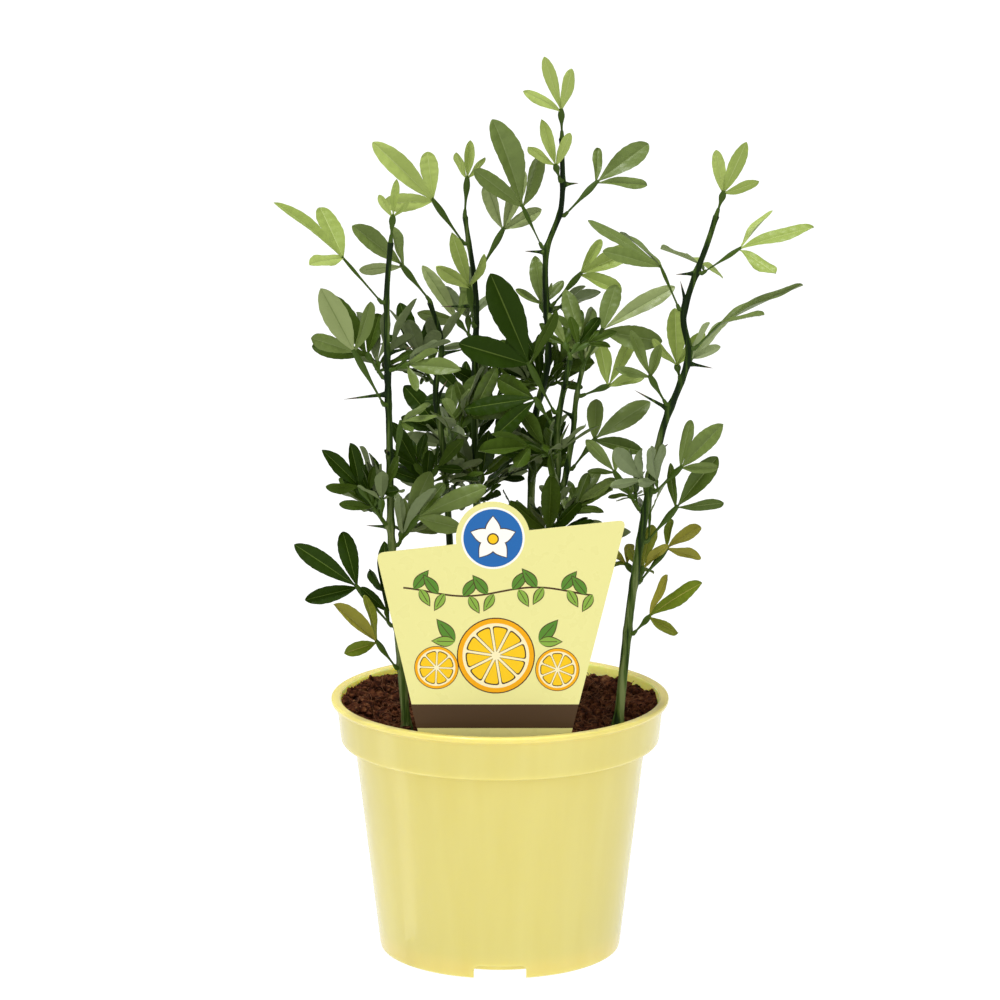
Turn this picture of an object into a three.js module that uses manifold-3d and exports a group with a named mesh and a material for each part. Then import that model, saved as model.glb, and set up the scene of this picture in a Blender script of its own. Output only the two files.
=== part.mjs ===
// A young trifoliate orange in its nursery pot, with a plastic tag. Millimetres, +Z up, -Y to the front.
// The origin is the middle of the pot's underside.
import * as THREE from "three";
import { mergeVertices } from "three/addons/utils/BufferGeometryUtils.js";
import Module from "manifold-3d";

const wasm = await Module();
wasm.setup();

// Sizes of the pot
const potHeight = 130;
const rimRadius = 85;
const footRadius = 60.65;
const bodyTopRadius = 73.2;
const bandFootRadius = 80;
const bandTopRadius = 82;
const bandFootHeight = 107;
const bandTopHeight = 126.2;
const wall = 1.8;
const floorThickness = 2;
const padRadius = 46;
const lipUndersideHeight = 127.8;
const lipRounding = 0.8;
const gutterHeight = 7.5;
const gutterWidth = 10.5;
const gutterSlant = 2;
const gutterOuterSlant = 1;
const wallSlant = 1.4;
const roundSides = 40;
const finestDetail = 0.01;

// Sizes of the drain arches in the foot and of the drain holes in the gutter
const archCount = 3;
const archWidth = 26;
const archHeight = 7;
const archCorner = 3;
const archOvershoot = 4;
const drainCount = 6;
const drainRadius = 3.5;

// Sizes of the soil, and the gap that touching pieces keep
const soilHeight = 125;
const soilCrumble = 1.5;
const soilSlope = 2.7;
const soilEdgeGap = 1.3;
const gap = 0.3;

// Sizes of the tag: its own plane, its outline and the tail that goes into the soil
const tagY = -66;
const tagThickness = 0.8;
const tagFoot = { left: -39.7, right: 34.3, height: soilHeight + gap };
const tagLeftTop = { x: -60.2, z: 218.2 };
const tagRightTop = { x: 61.2, z: 234.6 };
const tagCorner = 4;
const tagCrest = { x: -3.4, z: 225.7, radius: 18, firstAngle: 12, lastAngle: 190 };
const tagTail = { halfWidth: 13, depth: 28, tip: 5 };

// Sizes of the stems, twigs and thorns
const stemSides = 6;
const stemStep = 10;
const flareHeight = 9;
const flareGrowth = 0.45;
const twigSides = 4;
const twigRadius = 1.1;
const twigFoot = 1;
const twigReach = 2.6;
const twigTaper = 0.85;
const thornSides = 4;
const thornRadius = 1.1;

// Proportions of a leaf: the winged stalk that widens to its end, and the outline of a leaflet
const stalk = { stations: [0, 0.86, 1], halfWidths: [0.5, 1.7, 1.3], thickness: 1, lift: 0.4 };
const stalkSink = 1.2;
const leafStations = [0, 0.45, 0.82, 1];
const leafOutline = [0, 0.84, 0.94, 0];
const leafThickness = 0.6;
const leafSpread = [32, 54];
const sideLengths = [0.56, 0.78];
const halfWidths = [0.108, 0.178];
const leafArch = [0.02, 0.17];
const leafRoll = 30;
const middleRollShare = 0.4;
const middleSink = 0.8;
const sideSink = 1.5;

// A further leaf of a spray, against its first one: how far along the twig it may start, its turn from the
// twig, its lift, the lift of its blades, the reach of its stalk, its length and how far it faces a side
const furtherShare = 0.9;
const furtherTurn = [60, 150];
const furtherLift = [-30, 20];
const furtherBladeLift = [-15, 15];
const furtherReach = [8, 12];
const furtherReachShare = 0.2;
const furtherLength = [0.7, 0.95];
const furtherFace = [0.4, 1];
const steepestFirstRise = 50;

// Room that a leaf keeps to limbs, to other sprays, to the tag and to the pot
const roomToLimb = 1.3;
const roomToOwnStem = 0.7;
const roomToSpray = 2.7;
const roomToTag = 2;
const ownStemReach = 7;
const leafTries = 5;
const frontBearing = 270;

const degrees = Math.PI / 180;

const colours = {
  pot: 0xe6d980,
  soil: 0x3a2417,
  tag: 0xf6eea5,
  bark: 0x1f3310,
  light: 0xa3be64,
  middle: 0x5f7d3c,
  dark: 0x2d4616,
  turning: 0xa08a34,
};

// Each stem: its widths at foot and tip, and its bends as [x, y, height]
// Each spray: height on the stem, bearing, rise and length of the leaf stalk, rise and length of the
// middle leaflet, how far it faces the front, number of leaves, tint, length of its twig if a long one
// Each thorn: height on the stem, bearing, rise, length
const stems = [
  {
    name: "left",
    widths: [4.4, 2.6],
    bends: [[-46, -46, 125.3], [-53, -43, 214], [-54, -42, 270], [-55, -39, 338], [-53, -38, 366]],
    sprays: [
      [366, 0, 85, 10, 85, 17, 75, 1, "light"],
      [337, 195, 50, 28, 46, 42, 22, 1, "light"],
      [300, 150, 50, 7, 50, 36, 60, 3, "dark", 8],
      [287, 218, 58, 32, 60, 35, 60, 2, "middle"],
      [304, 330, 20, 8, 3, 27, 53, 2, "middle"],
      [254, 320, 80, 24, 18, 22, 30, 1, "middle"],
      [228, 210, 55, 14, 46, 26, 60, 5, "dark", 12],
      [217, 350, 55, 16, 27, 36, 45, 3, "middle"],
      [177, 175, 49, 24, 35, 36, 53, 2, "dark"],
      [156, 225, 50, 19, 42, 34, 50, 1, "turning"],
    ],
    thorns: [[312, 20, 10, 14], [292, 190, -5, 22], [226, 185, 5, 12], [262, 260, 25, 10]],
  },
  {
    name: "inner_left",
    widths: [4.2, 2.4],
    bends: [
      [-22, 2, 125.3], [-25.5, 0, 215], [-29, -1, 262], [-32, -2, 285], [-29, -3, 311], [-34.5, -4, 331],
    ],
    sprays: [
      [331, 195, 52, 21, 42, 30, 60, 1, "middle"],
      [290, 140, 50, 8, 70, 26, 70, 3, "dark", 10],
      [228, 215, 55, 11, 60, 24, 60, 5, "dark", 18],
      [258, 15, 50, 9, 62, 27, 60, 3, "middle", 10],
    ],
    thorns: [[246, 190, 25, 20], [281, 20, 60, 12], [305, 30, 5, 15]],
  },
  {
    name: "middle",
    widths: [4.4, 2.4],
    bends: [[-8, 34, 125.3], [-12.4, 37, 237], [-12.9, 38, 287], [-12, 39, 326], [-17.5, 40, 367]],
    sprays: [
      [367, 350, 86, 17, 85, 18, 70, 1, "light"],
      [354, 190, 55, 26, 46, 40, 60, 1, "light"],
      [338, 20, 59, 24, 69, 30, 60, 1, "middle"],
      [312, 240, 78, 20, 60, 30, 60, 2, "light"],
      [306, 165, 50, 9, 58, 32, 55, 2, "middle"],
      [262, 30, 50, 12, 45, 30, 60, 4, "dark", 14],
      [240, 150, 45, 13, 45, 30, 50, 4, "dark", 12],
      [222, 280, 50, 13, 55, 28, 60, 4, "dark", 10],
    ],
    thorns: [[322, 185, 0, 18], [300, 350, 10, 12], [270, 70, 20, 14]],
  },
  {
    name: "tall",
    widths: [4.6, 2.4],
    bends: [
      [14.3, 24, 125.3], [15.6, 24, 225], [17.6, 24, 267], [24, 23, 297], [23, 22, 351], [30.5, 22, 375],
      [30.7, 22, 409],
    ],
    sprays: [
      [409, 190, 88, 11, 72, 27, 75, 1, "light"],
      [388, 240, 60, 8, 60, 27, 75, 1, "light"],
      [371, 20, 43, 22, 33, 32, 50, 1, "middle"],
      [354, 170, 64, 21, 76, 44, 16, 1, "middle"],
      [325, 350, 49, 20, 27, 30, 60, 2, "light"],
      [318, 110, 50, 7, 66, 25, 60, 2, "middle"],
      [280, 60, 45, 13, 45, 30, 50, 4, "dark", 12],
      [236, 285, 50, 11, 60, 28, 60, 4, "dark", 8],
    ],
    thorns: [[386, 0, 5, 8], [352, 180, 3, 11], [323, 10, 10, 18], [300, 100, 15, 13]],
  },
  {
    name: "inner_right",
    widths: [4.2, 2.6],
    bends: [[16.5, -14, 125.3], [22, -16, 205], [28.5, -19, 247], [28.3, -20.5, 272], [34.3, -24, 306]],
    sprays: [
      [279, 200, 62, 27, 67, 48, 60, 1, "dark"],
      [272, 160, 55, 14, -10, 38, 50, 1, "dark"],
      [257, 222, 25, 16, 5, 32, 45, 3, "dark"],
      [212, 275, 40, 12, 68, 33, 80, 3, "dark"],
      [222, 340, 45, 9, 36, 24, 50, 4, "middle", 8],
      [306, 120, 50, 6, 40, 20, 50, 2, "dark"],
    ],
    thorns: [[292, 300, 30, 11], [262, 20, 60, 13]],
  },
  {
    name: "right",
    widths: [4.8, 2.6],
    bends: [
      [58.5, -40, 125.3], [66, -38, 198], [79, -35, 271], [92, -34, 309], [89.6, -33, 330], [102, -31, 368],
      [105, -30.5, 378],
    ],
    sprays: [
      [378, 350, 73, 9, 66, 26, 65, 1, "light"],
      [351, 345, 35, 21, 21, 37, 35, 2, "light"],
      [313, 350, 46, 16, 30, 44, 5, 1, "middle"],
      [332, 170, 66, 21, 34, 41, 10, 1, "middle"],
      [285, 200, 59, 15, 67, 24, 65, 1, "middle"],
      [297, 100, 40, 8, 80, 27, 80, 2, "light"],
      [243, 340, 45, 17, 48, 30, 50, 3, "middle"],
      [218, 0, 50, 21, 52, 31, 60, 2, "middle"],
      [233, 170, 56, 17, 50, 20, 50, 4, "middle", 6],
      [197, 35, 42, 21, 25, 23, 50, 2, "turning"],
      [172, 325, 47, 12, 40, 33, 50, 1, "turning"],
    ],
    thorns: [
      [306, 5, -12, 13], [350, 180, -3, 10], [335, 200, 75, 12], [283, 185, 30, 20], [262, 60, 10, 12],
    ],
  },
];

// The bough that leaves the inner right stem: its foot's height there, then its own bends
const bough = {
  name: "bough",
  carrier: "inner_right",
  footHeight: 240,
  widths: [3, 2.3],
  bends: [[32.5, -16.5, 247], [36, -14, 267], [37.5, -13, 284], [40.5, -12, 299]],
  sprays: [
    [299, 8, 62, 19, 32, 41, 55, 2, "middle"],
    [286, 25, 15, 14, 60, 30, 60, 1, "light"],
    [250, 18, 50, 17, 33, 33, 55, 1, "middle"],
  ],
  thorns: [[275, 170, 30, 9]],
};

const part = new THREE.Group();

function vector(x, y, z) {
  return new THREE.Vector3(x, y, z);
}

// A unit vector at a bearing round +Z and a rise above level, both in degrees
function heading(bearing, rise) {
  const level = Math.cos(rise * degrees);
  return vector(
    level * Math.cos(bearing * degrees),
    level * Math.sin(bearing * degrees),
    Math.sin(rise * degrees),
  );
}

function along(start, direction, distance) {
  return start.clone().addScaledVector(direction, distance);
}

// The part of a vector square to a unit direction, as a unit vector
function squareTo(direction, wanted) {
  return along(wanted, direction, -wanted.dot(direction)).normalize();
}

// The same draws for the same seed, each from 0 to 1
function seededDraws(seed) {
  let state = (seed * 2654435761) >>> 0;
  return function draw() {
    state = (Math.imul(state, 1664525) + 1013904223) >>> 0;
    return state / 4294967296;
  };
}

function between(low, high, share) {
  return low + (high - low) * share;
}

function addMesh(name, geometry, colour, roughness) {
  const material = new THREE.MeshStandardMaterial({ color: colour, roughness, metalness: 0 });
  const mesh = new THREE.Mesh(geometry, material);
  mesh.name = name;
  part.add(mesh);
}

// A geometry as a solid body, with shared corners merged and faces without area left out
function toSolid(geometry) {
  const bare = geometry.clone();
  bare.deleteAttribute("normal");
  bare.deleteAttribute("uv");
  const merged = mergeVertices(bare, 1e-4);
  const corners = [];
  for (let i = 0; i < merged.index.count; i += 3) {
    const [a, b, c] = [0, 1, 2].map((k) => merged.index.getX(i + k));
    if (a !== b && b !== c && a !== c) corners.push(a, b, c);
  }
  const mesh = new wasm.Mesh({
    numProp: 3,
    vertProperties: new Float32Array(merged.attributes.position.array),
    triVerts: new Uint32Array(corners),
  });
  mesh.merge();
  return new wasm.Manifold(mesh);
}

function toGeometry(solid) {
  const mesh = solid.getMesh();
  const geometry = new THREE.BufferGeometry();
  geometry.setAttribute("position", new THREE.BufferAttribute(new Float32Array(mesh.vertProperties), 3));
  geometry.setIndex(new THREE.BufferAttribute(new Uint32Array(mesh.triVerts), 1));
  return geometry;
}

// Several shapes made one body, with edges shorter than the finest detail closed up
function joined(geometries) {
  let solid = toSolid(geometries[0]);
  for (const geometry of geometries.slice(1)) solid = solid.add(toSolid(geometry));
  return toGeometry(solid.simplify(finestDetail));
}

function cut(geometry, tools) {
  let solid = toSolid(geometry);
  for (const tool of tools) solid = solid.subtract(toSolid(tool));
  return toGeometry(solid);
}

// Volume inside a closed skin, below zero where its faces point inwards
function skinVolume(points, faces) {
  let volume = 0;
  for (let i = 0; i < faces.length; i += 3) {
    const [a, b, c] = [0, 1, 2].map((k) => points[faces[i + k]]);
    volume += a.dot(b.clone().cross(c)) / 6;
  }
  return volume;
}

// A closed skin over sections that each have the same number of points, or one point at an end
function loft(sections) {
  const points = sections.flat();
  const faces = [];
  let first = 0;
  for (let s = 0; s + 1 < sections.length; s += 1) {
    const here = sections[s].length;
    const next = sections[s + 1].length;
    const sides = Math.max(here, next);
    const after = first + here;
    for (let i = 0; i < sides; i += 1) {
      const j = (i + 1) % sides;
      if (here > 1) faces.push(first + i, first + j, after + (next > 1 ? j : 0));
      if (next > 1) faces.push(here > 1 ? first + i : first, after + j, after + i);
    }
    first = after;
  }
  const last = sections.at(-1).length;
  for (let i = 1; i + 1 < sections[0].length; i += 1) faces.push(0, i + 1, i);
  for (let i = 1; i + 1 < last; i += 1) faces.push(first, first + i, first + i + 1);
  if (skinVolume(points, faces) < 0) faces.reverse();
  const places = points.flatMap((point) => point.toArray());
  const geometry = new THREE.BufferGeometry();
  geometry.setAttribute("position", new THREE.Float32BufferAttribute(places, 3));
  geometry.setIndex(faces);
  return geometry;
}

// A tapering round limb along a path; its foot is cut square to footNormal
function limb(path, radii, sides, footNormal) {
  let side = squareTo(footNormal, Math.abs(footNormal.x) < 0.7 ? vector(1, 0, 0) : vector(0, 1, 0));
  const sections = path.map((point, i) => {
    const ahead = path[Math.min(i + 1, path.length - 1)];
    const behind = path[Math.max(i - 1, 0)];
    const normal = i === 0 ? footNormal : ahead.clone().sub(behind).normalize();
    side = squareTo(normal, side);
    const up = normal.clone().cross(side);
    if (radii[i] === 0) return [point];
    return Array.from({ length: sides }, (_, k) => {
      const angle = (2 * Math.PI * k) / sides;
      return along(along(point, side, radii[i] * Math.cos(angle)), up, radii[i] * Math.sin(angle));
    });
  });
  return loft(sections);
}

// Middle of a blade at a share of its length: it starts at its base and arches down along its axis
function bladeMiddle({ base, axis, normal, length, shape }, t) {
  return along(along(base, axis, length * t), normal, shape.lift - shape.arch * length * t * t);
}

// A thin blade, flat above with a keel below
function bladeBody(blade) {
  const { axis, normal, shape } = blade;
  const side = axis.clone().cross(normal);
  const sections = shape.stations.map((t, i) => {
    const middle = bladeMiddle(blade, t);
    const half = shape.halfWidths[i];
    if (half === 0) return [middle];
    return [along(middle, side, half), along(middle, side, -half), along(middle, normal, -shape.thickness)];
  });
  return loft(sections);
}

// Place and direction of a stem's middle line at a height, smooth through its bends
function stemAt(bends, height) {
  const last = bends.length - 1;
  let i = 0;
  while (i < last - 1 && height > bends[i + 1][2]) i += 1;
  const slope = (k, axis) => {
    const a = bends[Math.max(k - 1, 0)];
    const b = bends[Math.min(k + 1, last)];
    return (b[axis] - a[axis]) / (b[2] - a[2]);
  };
  const rise = bends[i + 1][2] - bends[i][2];
  const t = (height - bends[i][2]) / rise;
  const place = [0, 1].map((axis) => (
    bends[i][axis] * (2 * t ** 3 - 3 * t ** 2 + 1) + slope(i, axis) * rise * (t ** 3 - 2 * t ** 2 + t)
      + bends[i + 1][axis] * (3 * t ** 2 - 2 * t ** 3) + slope(i + 1, axis) * rise * (t ** 3 - t ** 2)
  ));
  return vector(place[0], place[1], height);
}

function stemDirection(bends, height) {
  const low = Math.max(height - 1, bends[0][2]);
  const high = Math.min(height + 1, bends.at(-1)[2]);
  return stemAt(bends, high).sub(stemAt(bends, low)).normalize();
}

function stemRadius(stem, height) {
  const foot = stem.bends[0][2];
  const share = (height - foot) / (stem.bends.at(-1)[2] - foot);
  const flare = stem.carrier ? 0 : flareGrowth * Math.max(0, 1 - (height - foot) / flareHeight) ** 2;
  return (between(stem.widths[0], stem.widths[1], share) / 2) * (1 + flare);
}

// Path and radii of a stem from its foot to its tip; the bough starts clear of the stem that carries it
function stemPath(stem) {
  const foot = stem.bends[0][2];
  const tip = stem.bends.at(-1)[2];
  const steps = Math.ceil((tip - foot) / stemStep);
  const heights = Array.from({ length: steps + 1 }, (_, i) => between(foot, tip, i / steps));
  if (!stem.carrier) heights.splice(1, 0, foot + flareHeight / 2);
  const path = heights.map((height) => stemAt(stem.bends, height));
  const radii = heights.map((height) => stemRadius(stem, height));
  let footNormal = vector(0, 0, 1);
  if (stem.carrier) {
    const carrier = stems.find(({ name }) => name === stem.carrier);
    const middle = stemAt(carrier.bends, stem.footHeight);
    footNormal = squareTo(stemDirection(carrier.bends, stem.footHeight), path[0].clone().sub(middle));
    path.unshift(along(middle, footNormal, stemRadius(carrier, stem.footHeight) + gap));
    radii.unshift(radii[0]);
  }
  return { path, radii, footNormal };
}

// Points with a radius along every stem and thorn, which leaves keep clear of
function limbPoints(limbs) {
  const points = [];
  for (const stem of limbs) {
    const foot = stem.bends[0][2];
    const tip = stem.bends.at(-1)[2];
    for (let height = foot; height < tip; height += 2) {
      points.push({ place: stemAt(stem.bends, height), radius: stemRadius(stem, height), stem: stem.name });
    }
    for (const [height, bearing, rise, length] of stem.thorns) {
      const direction = heading(bearing, rise);
      for (let reach = 0; reach <= length; reach += 1.5) {
        const place = along(stemAt(stem.bends, height), direction, reach);
        points.push({ place, radius: thornRadius / 2, stem: reach < 4 ? stem.name : "" });
      }
    }
  }
  return points;
}

// One leaf: a winged stalk and three leaflets. Seeded draws vary the spread, lengths, widths and folds
function growLeaf(root, leaf, draw) {
  const axis = heading(leaf.bearing, leaf.rise);
  const bladeAxis = heading(leaf.bearing, leaf.bladeRise);
  const facing = heading(leaf.towards, 90 - leaf.face);
  const end = along(root, axis, leaf.reach + stalkSink);
  const normal = squareTo(bladeAxis, facing);
  const side = bladeAxis.clone().cross(normal);
  const wing = {
    base: root,
    axis,
    normal: squareTo(axis, facing),
    length: leaf.reach + stalkSink,
    shape: { ...stalk, arch: 0 },
  };
  const leaflets = [0, 1, -1].map((turn) => {
    const spread = turn * between(...leafSpread, draw()) * degrees;
    const length = leaf.length * (turn === 0 ? 1 : between(...sideLengths, draw()));
    const half = length * between(...halfWidths, draw());
    const arch = between(...leafArch, draw());
    const roll = between(-leafRoll, leafRoll, draw()) * (turn === 0 ? middleRollShare : 1) * degrees;
    const forward = bladeAxis.clone().multiplyScalar(Math.cos(spread));
    const direction = along(forward, side, Math.sin(spread));
    const across = direction.clone().cross(normal);
    const sink = turn === 0 ? middleSink : sideSink;
    return {
      base: along(end, axis, -sink),
      axis: direction,
      normal: along(normal.clone().multiplyScalar(Math.cos(roll)), across, Math.sin(roll)),
      length: length + sink,
      shape: {
        stations: leafStations,
        halfWidths: leafOutline.map((width) => width * half),
        thickness: leafThickness,
        lift: 0,
        arch,
      },
    };
  });
  return [wing, ...leaflets];
}

// Points over a blade, for telling whether two sprays touch
function bladePoints(blade) {
  const { axis, normal, length, shape } = blade;
  const side = axis.clone().cross(normal);
  const points = [];
  const rows = Math.max(2, Math.ceil(length / 3));
  for (let i = 1; i <= rows; i += 1) {
    const t = i / rows;
    let k = 0;
    while (shape.stations[k + 1] < t) k += 1;
    const share = (t - shape.stations[k]) / (shape.stations[k + 1] - shape.stations[k]);
    const half = between(shape.halfWidths[k], shape.halfWidths[k + 1], share);
    const middle = bladeMiddle(blade, t);
    for (const across of [-1, -0.5, 0, 0.5, 1]) points.push(along(middle, side, across * half));
  }
  return points;
}

function insideTag(point) {
  const share = (point.z - soilHeight) / (tagRightTop.z - soilHeight);
  const left = between(tagFoot.left, tagLeftTop.x, share) - roomToTag;
  const right = between(tagFoot.right, tagRightTop.x, share) + roomToTag;
  const top = tagCrest.z + tagCrest.radius + roomToTag;
  return Math.abs(point.y - tagY) < roomToTag && point.z < top && point.x > left && point.x < right;
}

// Whether a leaf leaves its space: into the tag, the soil or the pot, or too near a limb or another spray
function isBlocked(blades, root, spray, limbs, taken) {
  const points = blades.flatMap(bladePoints);
  return points.some((point) => {
    if (insideTag(point) || point.z < potHeight + roomToLimb) return true;
    const nearRoot = point.distanceTo(root) < ownStemReach;
    const meetsLimb = limbs.some(({ place, radius, stem }) => {
      const room = nearRoot && stem === spray.stem.name ? roomToOwnStem : roomToLimb;
      return place.distanceTo(point) < radius + room;
    });
    if (meetsLimb) return true;
    return taken.some(({ owner, place }) => owner !== spray && place.distanceTo(point) < roomToSpray);
  });
}

// The twig of a spray: it starts clear of its stem, or of the stem's tip, and leans to the first leaf
function growTwig({ stem, height, bearing, rise, twigLength }) {
  const middle = stemAt(stem.bends, height);
  const direction = stemDirection(stem.bends, height);
  const atTip = height >= stem.bends.at(-1)[2];
  const outward = atTip ? direction : squareTo(direction, heading(bearing, 0));
  const start = along(middle, outward, (atTip ? 0 : stemRadius(stem, height)) + gap);
  const bend = along(start, outward, twigFoot);
  return { start, outward, bend, end: along(bend, heading(bearing, rise), twigLength) };
}

// Pot: a moulded shell with a band under its lip, a gutter round the foot, arches and drain holes
function roundBody(profile) {
  const points = profile.map(([radius, height]) => new THREE.Vector2(radius, height));
  return new THREE.LatheGeometry(points, roundSides).rotateX(Math.PI / 2);
}

const gutterInner = padRadius + gutterSlant;
const gutterOuter = gutterInner + gutterWidth;
const floorTop = gutterHeight + floorThickness;
const insideFoot = footRadius + ((bodyTopRadius - footRadius) * floorTop) / bandFootHeight - wall;
const insideBandFoot = bandFootHeight + wall;

const potShell = roundBody([
  [0, 0],
  [padRadius, 0],
  [gutterInner, gutterHeight],
  [gutterOuter - gutterOuterSlant, gutterHeight],
  [gutterOuter, 0],
  [footRadius, 0],
  [bodyTopRadius, bandFootHeight],
  [bandFootRadius, bandFootHeight],
  [bandTopRadius, bandTopHeight],
  [rimRadius, lipUndersideHeight],
  [rimRadius - lipRounding, potHeight],
  [bandTopRadius - wall + lipRounding, potHeight],
  [bandTopRadius - wall, potHeight - lipRounding],
  [bandFootRadius - wall, insideBandFoot],
  [bodyTopRadius - wall, insideBandFoot],
  [insideFoot, floorTop],
  [gutterInner - wallSlant, floorTop],
  [padRadius - wallSlant, floorThickness],
  [0, floorThickness],
]);

function archTool(bearing) {
  const half = archWidth / 2;
  const outline = new THREE.Shape();
  outline.moveTo(-half, -1);
  outline.lineTo(half, -1);
  outline.lineTo(half, archHeight - archCorner);
  outline.absarc(half - archCorner, archHeight - archCorner, archCorner, 0, Math.PI / 2);
  outline.absarc(archCorner - half, archHeight - archCorner, archCorner, Math.PI / 2, Math.PI);
  const depth = footRadius - gutterOuter + 2 * archOvershoot;
  const tool = new THREE.ExtrudeGeometry(outline, { depth, bevelEnabled: false, curveSegments: 4 });
  tool.rotateX(Math.PI / 2).translate(0, footRadius + archOvershoot, 0);
  return tool.rotateZ((bearing - 90) * degrees);
}

function drainTool(bearing) {
  const tool = new THREE.CylinderGeometry(drainRadius, drainRadius, 2 * floorThickness, 8);
  tool.rotateX(Math.PI / 2).translate(gutterInner + gutterWidth / 2, 0, gutterHeight + floorThickness / 2);
  return tool.rotateZ(bearing * degrees);
}

const arches = Array.from({ length: archCount }, (_, i) => archTool(270 + (360 * i) / archCount));
const drains = Array.from({ length: drainCount }, (_, i) => drainTool((360 * i) / drainCount));
addMesh("pot", cut(potShell, [...arches, ...drains]), colours.pot, 0.45);

// Tag: a flat plastic card with a round crest, standing in the soil on a pointed tail
function tagOutline(grow) {
  const outline = new THREE.Shape();
  const tailX = (tagFoot.left + tagFoot.right) / 2;
  const tailHalf = tagTail.halfWidth + grow;
  const tailEnd = soilHeight - tagTail.depth - grow;
  outline.moveTo(tagFoot.left, tagFoot.height);
  outline.lineTo(tailX - tailHalf, tagFoot.height);
  outline.lineTo(tailX - tagTail.tip - grow, tailEnd);
  outline.lineTo(tailX + tagTail.tip + grow, tailEnd);
  outline.lineTo(tailX + tailHalf, tagFoot.height);
  outline.lineTo(tagFoot.right, tagFoot.height);
  outline.lineTo(tagRightTop.x, tagRightTop.z - tagCorner);
  outline.quadraticCurveTo(tagRightTop.x + 0.4, tagRightTop.z, tagRightTop.x - tagCorner, tagRightTop.z);
  const [firstAngle, lastAngle] = [tagCrest.firstAngle * degrees, tagCrest.lastAngle * degrees];
  outline.absarc(tagCrest.x, tagCrest.z, tagCrest.radius, firstAngle, lastAngle, false);
  outline.lineTo(tagLeftTop.x + tagCorner, tagLeftTop.z);
  outline.quadraticCurveTo(tagLeftTop.x, tagLeftTop.z, tagLeftTop.x, tagLeftTop.z - tagCorner);
  outline.closePath();
  return outline;
}

function tagBody(grow) {
  const depth = tagThickness + 2 * grow;
  const card = { depth, bevelEnabled: false, curveSegments: 14 };
  const body = new THREE.ExtrudeGeometry(tagOutline(grow), card);
  return body.rotateX(Math.PI / 2).translate(0, tagY + depth / 2, 0);
}

addMesh("tag", toGeometry(toSolid(tagBody(0))), colours.tag, 0.5);

// Soil: it fills the pot to just below the lip, with a slot that the tag's tail stands in
const soilBody = roundBody([
  [0, floorThickness + gap],
  [padRadius - wallSlant - gap, floorThickness + gap],
  [gutterInner - wallSlant - gap, floorTop + gap],
  [insideFoot - gap, floorTop + gap],
  [bodyTopRadius - wall - gap, insideBandFoot + gap],
  [bandFootRadius - wall - gap, insideBandFoot + gap],
  [bandTopRadius - wall - soilEdgeGap, soilHeight - soilCrumble],
  [bandTopRadius - wall - soilEdgeGap - soilSlope, soilHeight],
  [0, soilHeight],
]);
addMesh("soil", cut(soilBody, [tagBody(gap)]), colours.soil, 0.95);

// Stems: round tapering limbs from a flat cut at the soil, each with its thorns
function thorn(stem, [height, bearing, rise, length]) {
  const middle = stemAt(stem.bends, height);
  const direction = heading(bearing, rise);
  return limb([middle, along(middle, direction, length)], [thornRadius, 0], thornSides, direction);
}

const limbs = [...stems, bough];
for (const stem of limbs) {
  const { path, radii, footNormal } = stemPath(stem);
  const thorns = stem.thorns.map((row) => thorn(stem, row));
  const name = stem.carrier ? stem.name : `stem_${stem.name}`;
  addMesh(name, joined([limb(path, radii, stemSides, footNormal), ...thorns]), colours.bark, 0.6);
}

// Sprays: the first leaf of each is placed first, then further leaves branch from its twig where they fit
const sprays = [];
for (const stem of limbs) {
  stem.sprays.forEach((row, i) => {
    const [height, bearing, rise, reach, bladeRise, length, face, count, tint, twigLength = twigReach] = row;
    const seed = limbs.indexOf(stem) * 100 + i + 1;
    sprays.push({
      name: `spray_${stem.name}_${i + 1}`,
      stem,
      height,
      bearing,
      rise,
      reach,
      bladeRise,
      length,
      face,
      count,
      tint,
      twigLength,
      draw: seededDraws(seed),
      blades: [],
    });
  });
}

const obstacles = limbPoints(limbs);
const taken = [];

function tryLeaf(spray, leaf) {
  const { bend, end } = growTwig(spray);
  const place = bend.clone().lerp(end, leaf.share);
  const root = along(place, heading(leaf.bearing, leaf.rise), -stalkSink);
  const blades = growLeaf(root, leaf, spray.draw);
  if (isBlocked(blades, root, spray, obstacles, taken)) return false;
  spray.blades.push(...blades);
  for (const place of blades.flatMap(bladePoints)) taken.push({ owner: spray, place });
  return true;
}

// A further leaf of a spray: its directions are drawn again until one has room, and then it is left out
function tryFurtherLeaf(spray, turnSide, share) {
  const { bearing, rise, reach, length, face } = spray;
  for (let attempt = 0; attempt < leafTries; attempt += 1) {
    const lift = Math.min(rise, steepestFirstRise) + between(...furtherLift, spray.draw());
    const leaf = {
      bearing: bearing + turnSide * between(...furtherTurn, spray.draw()),
      rise: lift,
      reach: between(...furtherReach, spray.draw()) + furtherReachShare * reach,
      bladeRise: lift + between(...furtherBladeLift, spray.draw()),
      length: length * between(...furtherLength, spray.draw()),
      face: face * between(...furtherFace, spray.draw()),
      towards: 360 * spray.draw(),
      share,
    };
    if (tryLeaf(spray, leaf)) return;
  }
}

for (const spray of sprays) {
  const { bearing, rise, reach, bladeRise, length, face } = spray;
  tryLeaf(spray, { bearing, rise, reach, bladeRise, length, face, towards: frontBearing, share: 1 });
}

for (const spray of sprays) {
  const { bearing, count } = spray;
  const towardsBack = Math.cos(bearing * degrees) < 0 ? -1 : 1;
  for (let k = 1; k < count; k += 1) {
    tryFurtherLeaf(spray, k % 2 === 1 ? towardsBack : -towardsBack, 1 - (k / count) * furtherShare);
  }
}

for (const spray of sprays) {
  const twig = growTwig(spray);
  const radii = [twigRadius, twigRadius, twigRadius * twigTaper];
  const pieces = [limb([twig.start, twig.bend, twig.end], radii, twigSides, twig.outward)];
  addMesh(spray.name, joined([...pieces, ...spray.blades.map(bladeBody)]), colours[spray.tint], 0.55);
}

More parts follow.
